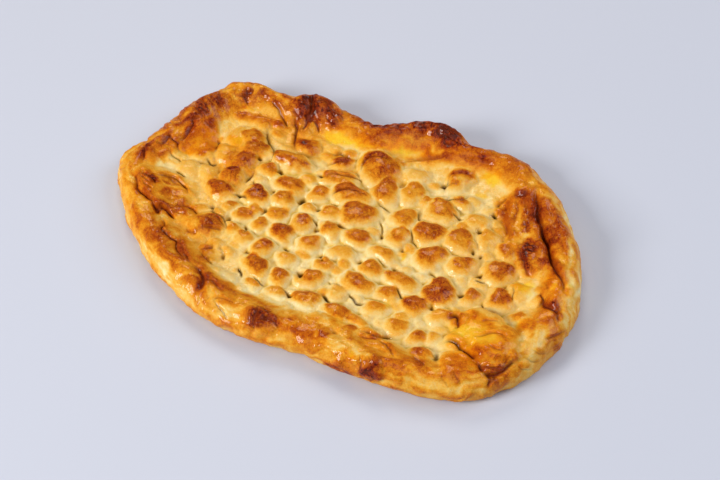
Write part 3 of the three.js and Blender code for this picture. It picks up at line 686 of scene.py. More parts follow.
BUTTER_PATCHES: tuple[Patch, ...] = (
    Patch(-50, 78, 30, 14, 1), Patch(-24, 79, 34, 13, 1, 3), Patch(-17, 62, 8, 16, 0.9),
    Patch(-42, 60, 14, 9, 0.6), Patch(2, 86, 34, 11, 1, 14), Patch(20, 95, 30, 10, 0.9, 18),
    Patch(86, 96, 20, 14, 1), Patch(82, 80, 12, 8, 0.8, -40), Patch(58, -6, 10, 5, 1, -20),
    Patch(151, 5, 17, 14, 1, -30), Patch(166, -30, 22, 10, 0.9, -20), Patch(-120, 33, 9, 20, 1, 10),
    Patch(-44, 30, 10, 14, 0.8), Patch(66, -58, 12, 8, 0.8), Patch(65, -115, 14, 9, 1),
    Patch(50, -10, 10, 6, 0.6), Patch(44, -90, 22, 10, 0.7), Patch(24, 60, 7, 9, 0.6),
    Patch(-128, 72, 16, 5, 0.7), Patch(-68, 20, 9, 12, 0.6), Patch(-48, 50, 10, 8, 0.6),
    Patch(-90, 22, 8, 8, 0.5), Patch(-75, -50, 10, 6, 0.3), Patch(30, -8, 12, 8, 0.4),
    Patch(-100, 66, 12, 6, 0.4), Patch(142, -56, 62, 46, 0.95, -18), Patch(-145, 23, 28, 40, 0.8, 6),
    Patch(136, -84, 30, 24, 0.7, 10), Patch(25, -112, 60, 18, 0.5, 5), Patch(172, 14, 40, 14, 0.6, -62),
    Patch(-60, -112, 70, 24, 0.15, -20), Patch(100, -100, 60, 30, 0.3, -5), Patch(178, 0, 20, 80, 0.3, 10),
    Patch(-160, -50, 36, 80, 0.35, 20), Patch(60, 105, 60, 24, 0.5, -5), Patch(110, 80, 30, 30, 0.4),
    Patch(-146, -40, 50, 26, 0.4, -20), Patch(-146, 10, 12, 12, 0.6), Patch(110, -84, 20, 8, 0.4),
)

# Where the skin shrank most as it browned.
WRINKLE_PATCHES: tuple[Patch, ...] = (
    Patch(-150, 62, 90, 44, 0.5, 38, 0.7), Patch(-75, 93, 56, 36, 0.5), Patch(-7, -117, 24, 24, 0.5),
    Patch(25, 114, 70, 22, 0.5, 4), Patch(138, 52, 84, 26, 0.35, -60), Patch(-145, -38, 60, 34, 0.4, -18),
    Patch(86, -118, 90, 26, 0.35, -3), Patch(165, -78, 30, 20, 0.4), Patch(-110, 92, 40, 24, 0.4, 10),
)


# ---- The plan -------------------------------------------------------------------


@dataclass(frozen=True)
class Plan:
    """The loaf's outline from above: an ellipse swollen or pinched at stations."""

    half_length: float = 197.0
    half_width: float = 129.0
    swell: tuple[float, ...] = (
        1.00, 0.99, 0.99, 1.00, 1.02, 1.06, 1.08, 1.10, 0.99, 1.00,
        0.92, 0.84, 0.88, 0.96, 0.96, 1.06, 1.04, 0.99, 0.96, 0.95,
        0.96, 1.01, 1.00, 0.98, 0.98, 0.98, 0.99, 1.00, 1.02, 1.01,
        0.99, 0.96, 0.99, 1.03, 1.08, 1.11, 1.09, 1.06, 1.03, 1.01,
    )
    perimeter: float = 1040.0

    def ray(self, turn: Array) -> tuple[Array, Array, Array]:
        """Direction and reach of the outline at a turn.

        Args:
            turn: Places round the outline, where 1 is a whole turn.

        Returns:
            The unit direction's two parts, and the outline's distance from the middle.
        """
        x = self.half_length * np.cos(FULL_TURN * turn)
        y = self.half_width * np.sin(FULL_TURN * turn)
        reach = np.hypot(x, y)
        return x / reach, y / reach, reach * round_table(self.swell, turn)

    def turn_of(self, x: Array, y: Array) -> Array:
        """Turn of the ray through each place."""
        return np.arctan2(y / self.half_width, x / self.half_length) / FULL_TURN


@dataclass(frozen=True)
class Rim:
    """Section of the rim and the wall, by stations round the loaf.

    An inset is a distance inwards from the outline.
    """

    floor: float = 12.0
    equator: float = 9.0
    undercut: float = 9.0
    crest_inset: float = 14.0
    brow: float = 6.0
    foot_inset: float = 46.0
    usual_crest: float = 24.0
    crest: tuple[float, ...] = (
        24, 26, 27, 25, 22, 25, 26, 22, 24, 25, 22, 22,
        21, 21, 22, 22, 22, 22, 22, 22, 23, 24, 25, 25,
    )
    crest_tone: tuple[float, ...] = (
        0.40, 0.36, 0.38, 0.46, 0.56, 0.66, 0.66, 0.56, 0.54, 0.52, 0.56, 0.58,
        0.56, 0.50, 0.47, 0.47, 0.47, 0.48, 0.48, 0.48, 0.50, 0.50, 0.48, 0.44,
    )
    wall_tone: tuple[float, ...] = (
        0.36, 0.35, 0.37, 0.42, 0.46, 0.50, 0.48, 0.46, 0.46, 0.46, 0.44, 0.42,
        0.37, 0.33, 0.32, 0.32, 0.34, 0.37, 0.40, 0.42, 0.42, 0.40, 0.37, 0.36,
    )

    @property
    def shoulder(self) -> float:
        """Length of skin from the crest to where the wall bulges furthest."""
        return QUARTER_TURN * 0.5 * (self.crest_inset + self.usual_crest - self.equator)

    @property
    def tuck(self) -> float:
        """Length of skin from there to the base."""
        return QUARTER_TURN * self.undercut

    @property
    def overhang(self) -> float:
        """How much further the unrolled skin reaches than the outline."""
        return self.shoulder + self.tuck - self.crest_inset


# ---- The plan map ---------------------------------------------------------------


class CrustMap:
    """Layers of the unrolled skin, on a plan grid in millimetres.

    Beyond the crest of the rim the grid goes on outwards along the skin, so the wall
    is drawn on it as if it were rolled out flat. The relief is in millimetres. The
    bake, the darkness of the creases' painted shade, the painted shade of the hollows,
    the wrinkle and the butter go from about 0 to 1, and the gap is the distance from
    the nearest crease, counted in its widths.
    """

    STEP = 0.6
    MARGIN = 4.0
    # How far past its half length and its half width the plan swells.
    SWELL = (1.04, 1.12)
    # Distance from a crease beyond which it no longer shows, and over which it fades.
    CLEAR = 3.0
    FADE = 1.7
    # Start of the noise that pushes places across the loaf, against that along it.
    ACROSS_SHIFT = (31.0, 13.0)
    # How the edges of patches wander: size of the wandering, and how far.
    PATCH_WANDER = (8.0, 1.8)
    # Window round a patch: share of its longer side, and a margin.
    PATCH_WINDOW = (0.7, 6.0)

    def __init__(self, plan: Plan, rim: Rim) -> None:
        """Lay out the grid and its empty layers.

        Args:
            plan: The loaf's outline.
            rim: The section of its rim.
        """
        self.plan = plan
        self.rim = rim
        self.half_x = plan.half_length * self.SWELL[0] + rim.overhang + self.MARGIN
        self.half_y = plan.half_width * self.SWELL[1] + rim.overhang + self.MARGIN
        self.x, self.y = np.meshgrid(*(-half + self.STEP * np.arange(int(2.0 * half / self.STEP))
                                       for half in (self.half_x, self.half_y)))
        self.turn = plan.turn_of(self.x, self.y)
        self.inset = plan.ray(self.turn)[2] - np.hypot(self.x, self.y)
        self.floor = ease(self.inset, rim.crest_inset + rim.brow, rim.foot_inset)
        self.relief, self.bake, self.crease, self.hollow_shade, self.wrinkle, self.butter = (
            np.zeros_like(self.x) for _ in range(6))
        self.gap = np.full_like(self.x, self.CLEAR)
        self.coarse, self.warp, self.fine = Grain(11), Grain(23), Grain(37)

    def window(self, x: float, y: float, reach: float) -> Box:
        """Find the part of the grid round a place.

        Args:
            x: The place along the loaf.
            y: The place across the loaf.
            reach: How far the part reaches each way.

        Returns:
            Its rows and columns.
        """
        column, row = (x + self.half_x) / self.STEP, (y + self.half_y) / self.STEP
        span = reach / self.STEP
        return (slice(max(0, int(row - span)), int(row + span) + 2),
                slice(max(0, int(column - span)), int(column + span) + 2))

    def blur(self, layer: Array, spread: float) -> Array:
        """Soften a layer.

        Args:
            layer: The layer to soften.
            spread: Width of the softening, in millimetres.

        Returns:
            The softened layer.
        """
        rows, columns = layer.shape
        wave = (np.fft.fftfreq(rows, self.STEP)[:, None] ** 2
                + np.fft.rfftfreq(columns, self.STEP)[None, :] ** 2)
        damp = np.exp(-2.0 * (math.pi * spread) ** 2 * wave)
        return np.fft.irfft2(np.fft.rfft2(layer) * damp, s=layer.shape)

    def noise(self, grain: Grain, size: float, octaves: int, shift: Span = (0.0, 0.0)) -> Array:
        """Noise all over the map.

        Args:
            grain: The noise that is read.
            size: Size of its largest bumps, in millimetres.
            octaves: How many finer layers are summed.
            shift: Where the reading starts on the tile.

        Returns:
            The noise at each grid point.
        """
        return grain.layered(self.x / size + shift[0], self.y / size + shift[1], octaves)

    def warped(self, size: float, amount: float) -> tuple[Array, Array]:
        """Places pushed about by smooth noise, which makes edges wander.

        Args:
            size: Size of the wandering, in millimetres.
            amount: How far a place is pushed.

        Returns:
            The pushed places.
        """
        dx = self.noise(self.warp, size, 2)
        dy = self.noise(self.warp, size, 2, self.ACROSS_SHIFT)
        return self.x + amount * dx, self.y + amount * dy

    def read(self, layer: Array, x: Array, y: Array) -> Array:
        """Value of a layer at places of the unrolled skin.

        Args:
            layer: The layer to read.
            x: Places along the loaf.
            y: Places across the loaf.

        Returns:
            The layer's values there, blended between grid points.
        """
        px = np.clip((x + self.half_x) / self.STEP, 0, layer.shape[1] - 2)
        py = np.clip((y + self.half_y) / self.STEP, 0, layer.shape[0] - 2)
        ix, iy = px.astype(int), py.astype(int)
        tx, ty = px - ix, py - iy
        low = blend(layer[iy, ix], layer[iy, ix + 1], tx)
        high = blend(layer[iy + 1, ix], layer[iy + 1, ix + 1], tx)
        return blend(low, high, ty)

    def patch(self, layer: Array, patches: Sequence[Patch]) -> None:
        """Add soft-edged patches to a layer.

        Args:
            layer: The layer that is changed in place.
            patches: The patches, which add their amount in their middle.
        """
        wx, wy = self.warped(*self.PATCH_WANDER)
        for spot in patches:
            side = max(spot.length, spot.width)
            box = self.window(spot.x, spot.y, self.PATCH_WINDOW[0] * side + self.PATCH_WINDOW[1])
            along, across = turned(wx[box] - spot.x, wy[box] - spot.y, spot.turn)
            reach = np.sqrt((2.0 * along / spot.length) ** 2 + (2.0 * across / spot.width) ** 2)
            layer[box] += spot.amount * ease(reach, 1.0 + 0.5 * spot.edge, 1.0 - spot.edge)

    def mark(self, box: Box, gap: Array, side: Array, dark: Array | float) -> None:
        """Note how dark the painted shade of a crease or pit is and how far away its middle lies.

        The distance has a sign, so that it can be read between the skin's points and
        still give a line finer than they are apart.

        Args:
            box: Grid rows and columns.
            gap: Distance there, in widths of the crease.
            side: The sign of the side.
            dark: How dark its painted shade is.
        """
        closer = gap < np.abs(self.gap[box])
        self.gap[box] = np.where(closer, gap * np.where(side < 0.0, -1.0, 1.0), self.gap[box])
        lift(self.crease, box, dark * np.exp(-(gap / self.FADE) ** 2))


# ---- The steps from dough to crust ------------------------------------------------


class Step(Protocol):
    """One thing that the baker or the oven does to the dough."""

    def work(self, crust: CrustMap) -> None:
        """Do it to a crust's layers."""


@dataclass(frozen=True)
class RimBrowning:
    """The rim's own bake, by stations round the loaf."""

    # Insets between which the crest's tone gives way to the wall's.
    wall: Span = (16.0, 0.0)
    # Insets between which the rim's bake ends.
    inner: Span = (26.0, 40.0)
    # The skin next to the hot oven floor: its width, and the bake that it adds.
    base_width: float = 6.0
    base_bake: float = 0.30

    def work(self, crust: CrustMap) -> None:
        """Brown the crest and the wall.

        Args:
            crust: The crust whose bake is changed.
        """
        rim = crust.rim
        crest, wall = (round_table(tones, crust.turn) for tones in (rim.crest_tone, rim.wall_tone))
        tone = blend(crest, wall, ease(crust.inset, *self.wall))
        tone += self.base_bake * ease(crust.inset, -rim.overhang + self.base_width, -rim.overhang)
        crust.bake = np.maximum(crust.bake, tone * (1.0 - ease(crust.inset, *self.inner)))


@dataclass(frozen=True)
class SmallPillows:
    """Little lumps of dough that stand up where no larger pillow does."""

    seed: int = 5
    tries: int = 520
    field_x: Span = (-112.0, 165.0)
    field_y: Span = (-100.0, 72.0)
    half_length: Span = (6.0, 9.5)
    half_width: Span = (4.5, 6.5)
    tone: Span = (0.05, 0.34)
    lean: Span = (-35.0, 35.0)
    # They keep this far in from the outline, and off places covered more than this.
    clear_inset: float = 24.0
    clear_cover: float = 0.10
    window: float = 10.0
    rise_share: float = 0.55
    roundness: float = 0.9
    cover: float = 1.2
    cap_edge: Span = (0.9, 0.2)

    def fill(self, crust: CrustMap, domes: Array, covered: Array, caps: Array) -> None:
        """Put small pillows where the named ones leave the floor bare.

        Args:
            crust: The crust they stand on.
            domes: Rise of the pillows, which grows.
            covered: 1 where a pillow stands, down to 0 well clear of all, which grows.
            caps: Browning of the caps, which grows.
        """
        draw = np.random.default_rng(self.seed)
        for _ in range(self.tries):
            x, y, length, width, tone, lean = (draw.uniform(*span) for span in (
                self.field_x, self.field_y, self.half_length, self.half_width, self.tone, self.lean))
            row, column = (int((v + half) / crust.STEP) for v, half in ((y, crust.half_y), (x, crust.half_x)))
            if crust.inset[row, column] < self.clear_inset or covered[row, column] > self.clear_cover:
                continue
            box = crust.window(x, y, self.window)
            along, across = turned(crust.x[box] - x, crust.y[box] - y, lean)
            reach = (along / length) ** 2 + (across / width) ** 2
            lift(domes, box, self.rise_share * width * np.clip(1.0 - reach, 0.0, None) ** self.roundness)
            lift(covered, box, np.clip(self.cover - reach, 0.0, 1.0))
            lift(caps, box, tone * ease(reach, *self.cap_edge))


@dataclass(frozen=True)
class PillowPress:
    """Finger presses: pillows stand up between them, and brown from the top down."""

    seed: int = 29
    small: SmallPillows = SmallPillows()
    # Window round a pillow: share of its longer half, and a margin.
    window: Span = (1.6, 6.0)
    # How the feet and the caps wander: size of the wandering, and how far.
    foot_wander: Span = (9.0, 0.6)
    cap_wander: Span = (6.0, 0.8)
    # Lobes from kneading: how many go round a pillow, and their share of its size.
    lobes: tuple[Span, ...] = ((2.0, 0.09), (3.0, 0.08))
    squareness: Span = (1.9, 2.7)
    # The foot is larger than the cap and lies off it, away from the fire.
    foot_shift: Span = (0.9, 1.4)
    foot_share: float = 1.15
    foot_past: Span = (2.6, 2.8)
    rise: float = 1.7
    rise_share: float = 0.37
    roundness: float = 0.75
    cover: float = 1.25
    # Flanks: where they end, and their share of the cap's tone, least towards the fire.
    flank_edge: Span = (1.05, 0.20)
    flank_tone: Span = (0.40, 0.16)
    flank_turn: Span = (0.1, 0.9)
    # Caps: place, size, edge and how soft that is, softest away from the fire.
    cap_shift: Span = (0.2, 0.4)
    cap_share: Span = (1.06, 1.22)
    cap_edge: Span = (1.00, 0.78)
    cap_soft: Span = (0.16, 0.12)
    fire_range: Span = (-1.25, 1.0)
    # A cap's tone: its level and what fire adds; its lee side; its browner fire-side edge.
    # Towards the fire the darkening is partly oven browning and partly painted shade, and
    # the paler lee side is partly painted light.
    cap_tone: Span = (0.97, 0.13)
    lee: Span = (-1.25, -0.3)
    lee_share: float = 0.22
    ring: Span = (0.45, 0.85)
    edge_burn_and_shade_side: Span = (-0.2, 0.6)
    edge_burn_and_shade_tone: Span = (0.78, 0.23)
    # Webs of dough stretched over the bare floor.
    web_size: float = 7.0
    web_shift: Span = (5.0, 0.0)
    web_edge: Span = (0.35, 0.0)
    web_rise: float = 0.9
    web_bake: float = 0.05
    ground_bake: float = 0.13
    # Share of what is there already that a browner layer on top takes the place of.
    over: float = 0.75
    rim_fade: Span = (12.0, 22.0)

    def work(self, crust: CrustMap) -> None:
        """Raise the pillows, fill the gaps between them and brown them.

        Args:
            crust: The crust whose relief and bake are changed.
        """
        feet, tops = crust.warped(*self.foot_wander), crust.warped(*self.cap_wander)
        draw = np.random.default_rng(self.seed)
        domes, caps, covered, flanks = (np.zeros_like(crust.x) for _ in range(4))
        for pillow in PILLOWS:
            box = crust.window(pillow.x, pillow.y, self.window[0] * max(pillow.half) + self.window[1])
            dx, dy = feet[0][box] - pillow.x, feet[1][box] - pillow.y
            knead = self.knead(np.arctan2(dy, dx), draw)
            squareness = draw.uniform(*self.squareness)
            dx, dy = dx * knead, dy * knead
            reach, dome = self.dome(pillow, dx, dy, squareness)
            lift(domes, box, dome)
            share = blend(*self.flank_tone, ease(pillow.fireward(dx, dy), *self.flank_turn))
            lift(flanks, box, pillow.tone.value * (ease(reach, *self.flank_edge) * share))
            lift(covered, box, np.clip(self.cover - reach, 0.0, 1.0))
            dx, dy = (tops[0][box] - pillow.x) * knead, (tops[1][box] - pillow.y) * knead
            lift(caps, box, pillow.tone.value * self.cap(pillow, dx, dy))
        self.small.fill(crust, domes, covered, caps)
        web = ease(np.abs(crust.noise(crust.coarse, self.web_size, 2, self.web_shift)), *self.web_edge)
        web *= 1.0 - np.clip(covered, 0.0, 1.0)
        crust.relief += crust.floor * (domes + self.web_rise * web)
        caps *= ease(crust.inset, *self.rim_fade)
        ground = self.ground_bake + self.web_bake * web
        crust.patch(ground, GROUND_PATCHES)
        crust.bake = np.maximum(crust.bake, ground)
        for top in (flanks, caps):
            crust.bake = crust.bake + np.clip(top - self.over * crust.bake, 0.0, None)

    def knead(self, bearing: Array, draw: np.random.Generator) -> Array:
        """Uneven growth of a pillow.

        Args:
            bearing: Bearing of each place from its middle.
            draw: Where its lobes' places are drawn from.

        Returns:
            The factor by which each place is pushed out.
        """
        starts = draw.uniform(0.0, FULL_TURN, len(self.lobes))
        growth = 1.0
        for (count, share), start in zip(self.lobes, starts):
            growth = growth + share * np.sin(count * bearing + start)
        return growth

    def dome(self, pillow: Pillow, dx: Array, dy: Array, squareness: float) -> tuple[Array, Array]:
        """Shape a pillow.

        Args:
            pillow: The pillow.
            dx: Places along the loaf from its middle.
            dy: Places across the loaf from its middle.
            squareness: How square its outline is, where 2 is an ellipse.

        Returns:
            How far out each place lies, where 1 is the foot, and its rise.
        """
        along, across = turned(dx + self.foot_shift[0], dy + self.foot_shift[1], pillow.turn)
        foot = [half * self.foot_share + past for half, past in zip(pillow.half, self.foot_past)]
        reach = np.abs(along / foot[0]) ** squareness + np.abs(across / foot[1]) ** squareness
        rise = self.rise + self.rise_share * math.sqrt(foot[0] * foot[1])
        return reach, rise * np.clip(1.0 - reach, 0.0, None) ** self.roundness

    def cap(self, pillow: Pillow, dx: Array, dy: Array) -> Array:
        """Brown the top of a pillow, most towards the fire, partly as painted shade; pale its lee side,
        partly as painted light.

        Args:
            pillow: The pillow.
            dx: Places along the loaf from its middle.
            dy: Places across the loaf from its middle.

        Returns:
            The share of the pillow's tone at each place.
        """
        along, across = turned(dx + self.cap_shift[0], dy + self.cap_shift[1], pillow.turn)
        half = [share * half for share, half in zip(self.cap_share, pillow.half)]
        reach = np.sqrt((along / half[0]) ** 2 + (across / half[1]) ** 2)
        fire = np.clip(pillow.fireward(dx, dy), *self.fire_range)
        soft = self.cap_soft[0] - self.cap_soft[1] * fire
        cap = ease(reach, self.cap_edge[0] + soft, self.cap_edge[1] - soft)
        # Darker towards the fire: partly oven browning, partly painted shade.
        cap *= self.cap_tone[0] + self.cap_tone[1] * fire
        # The edge towards the fire is darker still: partly burnt, partly painted shade.
        ring = ease(reach, *self.ring) * ease(fire, *self.edge_burn_and_shade_side)
        # The lee side is paler: partly less baked, partly painted light.
        lee = blend(1.0, ease(fire, *self.lee), self.lee_share)
        return cap * (lee * (self.edge_burn_and_shade_tone[0] + self.edge_burn_and_shade_tone[1] * ring))


@dataclass(frozen=True)
class RimWrinkling:
    """Leathery wrinkles and lumps of the rim, and the pleats down its wall."""

    # How the wrinkles wander: size of the wandering, and how far.
    wander: Span = (30.0, 5.0)
    lump_size: float = 26.0
    lump_shift: Span = (3.0, 0.0)
    lump_rise: float = 0.7
    lump_fade: Span = (-4.0, 16.0)
    # Sizes along and across the rim.
    streak: Span = (30.0, 5.0)
    streak_rise: float = 0.34
    streak_bake: float = 0.09
    ridge: Span = (34.0, 9.0)
    ridge_shift: float = 9.0
    ridge_limits: Span = (-0.5, 1.0)
    ridge_rise: float = 0.50
    pleat: Span = (5.0, 26.0)
    pleat_rise: float = 0.17
    pleat_bake: float = 0.03
    # Insets between which the wall begins, and how far it draws in.
    wall: Span = (13.0, 2.0)
    wall_sink: float = 0.6

    def work(self, crust: CrustMap) -> None:
        """Wrinkle the rim.

        Args:
            crust: The crust whose relief and bake are changed.
        """
        size, push = self.wander
        along = crust.turn * crust.plan.perimeter
        across = crust.inset + push * crust.noise(crust.warp, size, 3)
        rim = 1.0 - crust.floor
        lumps = crust.noise(crust.coarse, self.lump_size, 2, self.lump_shift)
        crust.relief += self.lump_rise * lumps * rim * ease(crust.inset, *self.lump_fade)
        streaks = crust.coarse.layered(along / self.streak[0], across / self.streak[1], 3)
        ridges = crust.fine.layered(along / self.ridge[0] + self.ridge_shift, across / self.ridge[1], 2)
        ridges = np.clip(1.0 - np.abs(ridges), *self.ridge_limits)
        crust.relief += rim * (self.streak_rise * streaks + self.ridge_rise * ridges)
        wall = ease(crust.inset, *self.wall)
        pleats = crust.fine.layered(along / self.pleat[0], across / self.pleat[1], 3)
        crust.relief += wall * (self.pleat_rise * pleats - self.wall_sink)
        crust.bake += rim * self.streak_bake * streaks - wall * self.pleat_bake * pleats


@dataclass(frozen=True)
class Rising:
    """Flaps, knots and blisters that rose in the oven."""

    wander: Span = (14.0, 2.0)
    # Window round a swelling: share of its longer side, and a margin.
    window: Span = (0.62, 8.0)
    # The relief and bake under a swelling that stretched smooth are blurred this much.
    stretch: float = 5.0
    stretch_edge: Span = (1.15, 0.7)
    # The dough as a whole rounds off by this much.
    rounding: float = 0.5

    def work(self, crust: CrustMap) -> None:
        """Raise the swellings.

        Args:
            crust: The crust whose relief and bake are changed.
        """
        wx, wy = crust.warped(*self.wander)
        layers = (crust.relief, crust.bake)
        plains = [crust.blur(layer, self.stretch) for layer in layers]
        for lump in SWELLINGS:
            LOG.debug("raising the %s", lump.name)
            side = max(lump.length, lump.width)
            box = crust.window(lump.x, lump.y, self.window[0] * side + self.window[1])
            along, across = turned(wx[box] - lump.x, wy[box] - lump.y, lump.turn)
            reach = (2.0 * along / lump.length) ** 2 + (2.0 * across / lump.width) ** 2
            share = lump.smooth * ease(reach, *self.stretch_edge)
            for layer, plain in zip(layers, plains):
                layer[box] = blend(layer[box], plain[box], share)
            crust.relief[box] += lump.rise * np.clip(1.0 - reach, 0.0, None) ** lump.softness
        crust.relief = crust.blur(crust.relief, self.rounding)


@dataclass(frozen=True)
class Creasing:
    """Creases where the dough was folded or pinched."""

    wander: Span = (9.0, 0.5)
    # Points of the smooth line for each point of the fold's chain.
    beads: int = 8
    margin: float = 6.0
    lip_reach: float = 7.0
    lip_rise: float = 1.5
    # A crease runs out over this share of its length at each end.
    run_out: float = 0.25
    # Gain of the painted shade in the crease lines.
    shade_ink: float = 1.3

    def work(self, crust: CrustMap) -> None:
        """Cut the folds and their lips, paint shade into their lines and brown their banks.

        Args:
            crust: The crust whose relief, bake and creases are changed.
        """
        wx, wy = crust.warped(*self.wander)
        for fold in FOLDS:
            line = smooth_line(np.array(fold.points, dtype=float), self.beads)
            middle = line.mean(axis=0)
            span = np.hypot(*(line - middle).T).max() + self.lip_reach + self.margin
            box = crust.window(middle[0], middle[1], span)
            nearest, side, share = self.nearest(line, wx[box], wy[box])
            taper = np.clip(share / self.run_out, 0.0, 1.0)
            taper = taper * np.clip((1.0 - share) / self.run_out, 0.0, 1.0)
            groove = np.exp(-(nearest / fold.width) ** 2) * taper
            lip = np.exp(-nearest / self.lip_reach) * ease(nearest, 0.0, fold.width) * taper * (side > 0.0)
            crust.relief[box] += self.lip_rise * fold.lip * lip - fold.depth * groove
            crust.mark(box, nearest / fold.width, side, min(1.0, self.shade_ink * fold.dark) * taper)
            crust.bake[box] += fold.brown * np.exp(-(nearest / fold.brown_reach) ** 2) * taper

    @staticmethod
    def nearest(line: Array, px: Array, py: Array) -> tuple[Array, Array, Array]:
        """Find the nearest point of a line.

        Args:
            line: The line's points, one on each row.
            px: Places along the loaf.
            py: Places across the loaf.

        Returns:
            Each place's distance from the line, the sign of its side, and how far along
            the line its nearest point lies, from 0 to 1.
        """
        nearest = np.full(px.shape, np.inf)
        side, share = np.zeros(px.shape), np.zeros(px.shape)
        for k, ((ax, ay), (bx, by)) in enumerate(zip(line, line[1:])):
            ex, ey = bx - ax, by - ay
            t = np.clip(((px - ax) * ex + (py - ay) * ey) / (ex * ex + ey * ey), 0.0, 1.0)
            gap = np.hypot(px - ax - t * ex, py - ay - t * ey)
            closer = gap < nearest
            nearest = np.where(closer, gap, nearest)
            side = np.where(closer, np.sign(ex * (py - ay) - ey * (px - ax)), side)
            share = np.where(closer, (k + t) / (len(line) - 1), share)
        return nearest, side, share


@dataclass(frozen=True)
class Poking:
    """Finger tips that went almost through the dough."""

    wander: Span = (5.0, 0.5)
    # Window, mouth and slope of a pit: the first two counted in its radius.
    window: float = 3.5
    mouth: float = 1.15
    slope: float = 1.2
    # Gain of the painted shade at the pits' bottoms.
    shade_ink: float = 1.3

    def work(self, crust: CrustMap) -> None:
        """Sink the pits and paint shade at their bottoms.

        Args:
            crust: The crust whose relief and creases are changed.
        """
        wx, wy = crust.warped(*self.wander)
        for pit in PITS:
            box = crust.window(pit.x, pit.y, self.window * pit.radius)
            gap = np.hypot(wx[box] - pit.x, wy[box] - pit.y) / (self.mouth * pit.radius)
            crust.relief[box] = blend(crust.relief[box], -pit.depth, np.exp(-(gap / self.slope) ** 2))
            crust.mark(box, gap, np.ones_like(gap), min(1.0, self.shade_ink * pit.dark))


@dataclass(frozen=True)
class Blistering:
    """Small unevenness of blistered dough, everywhere."""

    fine_size: float = 3.6
    fine_rise: float = 0.09
    broad_size: float = 9.0
    broad_rise: float = 0.26

    def work(self, crust: CrustMap) -> None:
        """Roughen the skin.

        Args:
            crust: The crust whose relief is changed.
        """
        fine = crust.noise(crust.fine, self.fine_size, 2)
        broad = crust.noise(crust.coarse, self.broad_size, 2)
        crust.relief += self.fine_rise * fine + self.broad_rise * broad


@dataclass(frozen=True)
class Baking:
    """The oven's last browning of what stands proud, what the skin does as it browns, and the painted shade
    of the hollows.
    """

    # Blurs whose difference says what stands proud, and the bake for each millimetre.
    proud_blurs: Span = (0.8, 6.0)
    proud_bake: float = 0.028
    proud_limit: float = 3.0
    fine_blur: float = 2.0
    fine_bake: float = 0.06
    fine_limit: float = 1.0
    # Mottles and specks, stronger on browned crust than on pale.
    mottle_size: float = 10.0
    mottle_shift: Span = (40.0, 0.0)
    mottle_bake: Span = (0.012, 0.05)
    speck_size: float = 2.6
    speck_shift: Span = (0.0, 9.0)
    speck_bake: float = 0.03
    browned: Span = (0.15, 0.7)
    # Above this the crust browns more and more slowly, by no more than the headroom.
    well_baked: float = 0.62
    headroom: float = 0.33
    slowing: float = 1.4
    # Depths over which the painted shade of the hollows shows, and their shares.
    hollow_shade_blur: float = 3.0
    hollow_shade_depths: tuple[tuple[float, Span], ...] = ((0.55, (0.0, 1.9)), (0.45, (1.3, 3.0)))
    # Skin wrinkles on the rim and on browned lumps, where it has browned enough.
    rim_wrinkle: float = 0.55
    lump_blur: float = 2.0
    lump_rise: Span = (1.0, 6.0)
    lump_bake: Span = (0.30, 0.55)
    wrinkle_bake: Span = (0.22, 0.50)
    last_blur: float = 0.3

    def work(self, crust: CrustMap) -> None:
        """Finish every layer.

        Args:
            crust: The crust whose layers are changed.
        """
        crust.patch(crust.bake, BAKE_PATCHES)
        crust.patch(crust.butter, BUTTER_PATCHES)
        self.brown(crust)
        # Painted shade of the hollows: how far the skin lies below its blurred self.
        low = crust.blur(crust.relief, self.hollow_shade_blur) - crust.relief
        crust.hollow_shade = sum(share * ease(low, *depths) for share, depths in self.hollow_shade_depths)
        lumps = ease(crust.blur(crust.relief, self.lump_blur), *self.lump_rise)
        lumps *= ease(crust.bake, *self.lump_bake)
        crust.wrinkle = np.maximum(self.rim_wrinkle * (1.0 - crust.floor), lumps)
        crust.patch(crust.wrinkle, WRINKLE_PATCHES)
        crust.wrinkle *= ease(crust.bake, *self.wrinkle_bake)
        crust.relief = crust.blur(crust.relief, self.last_blur)
        crust.bake = np.clip(crust.blur(crust.bake, self.last_blur), 0.0, 1.0)
        crust.crease = np.clip(crust.crease, 0.0, 1.0)
        crust.butter = np.clip(crust.butter, 0.0, 1.0)

    def brown(self, crust: CrustMap) -> None:
        """Brown what stands proud, pale what lies low, and mottle both.

        Args:
            crust: The crust whose bake is changed.
        """
        near, far = (crust.blur(crust.relief, spread) for spread in self.proud_blurs)
        fine = crust.relief - crust.blur(crust.relief, self.fine_blur)
        crust.bake += (self.proud_bake * np.clip(near - far, -self.proud_limit, self.proud_limit)
                       + self.fine_bake * np.clip(fine, -self.fine_limit, self.fine_limit))
        mottle = crust.noise(crust.coarse, self.mottle_size, 3, self.mottle_shift)
        speck = crust.noise(crust.fine, self.speck_size, 2, self.speck_shift)
        strength = ease(crust.bake, *self.browned)
        least, more = self.mottle_bake
        crust.bake += (least + more * strength) * mottle + self.speck_bake * strength * speck
        over = np.clip(crust.bake - self.well_baked, 0.0, None)
        crust.bake -= over - self.headroom * np.tanh(over / (self.slowing * self.headroom))


# What is done to the dough, in order.
STEPS: tuple[Step, ...] = (
    RimBrowning(), PillowPress(), RimWrinkling(), Rising(), Creasing(), Poking(), Blistering(), Baking(),
)


# ---- The material ---------------------------------------------------------------

# Numbers of a Mix node's colour inputs and output.
FIRST, SECOND, MIXED = 6, 7, 2


def feed(node: bpy.types.Node, inputs: Inputs) -> None:
    """Set a node's values and link its sockets.

    Args:
        node: The node that is fed.
        inputs: Values, or sockets to link, in order or by input name or number.
    """
    for key, value in (inputs.items() if isinstance(inputs, dict) else enumerate(inputs)):
        if isinstance(value, Socket):
            node.id_data.links.new(value, node.inputs[key])
        else:
            node.inputs[key].default_value = value


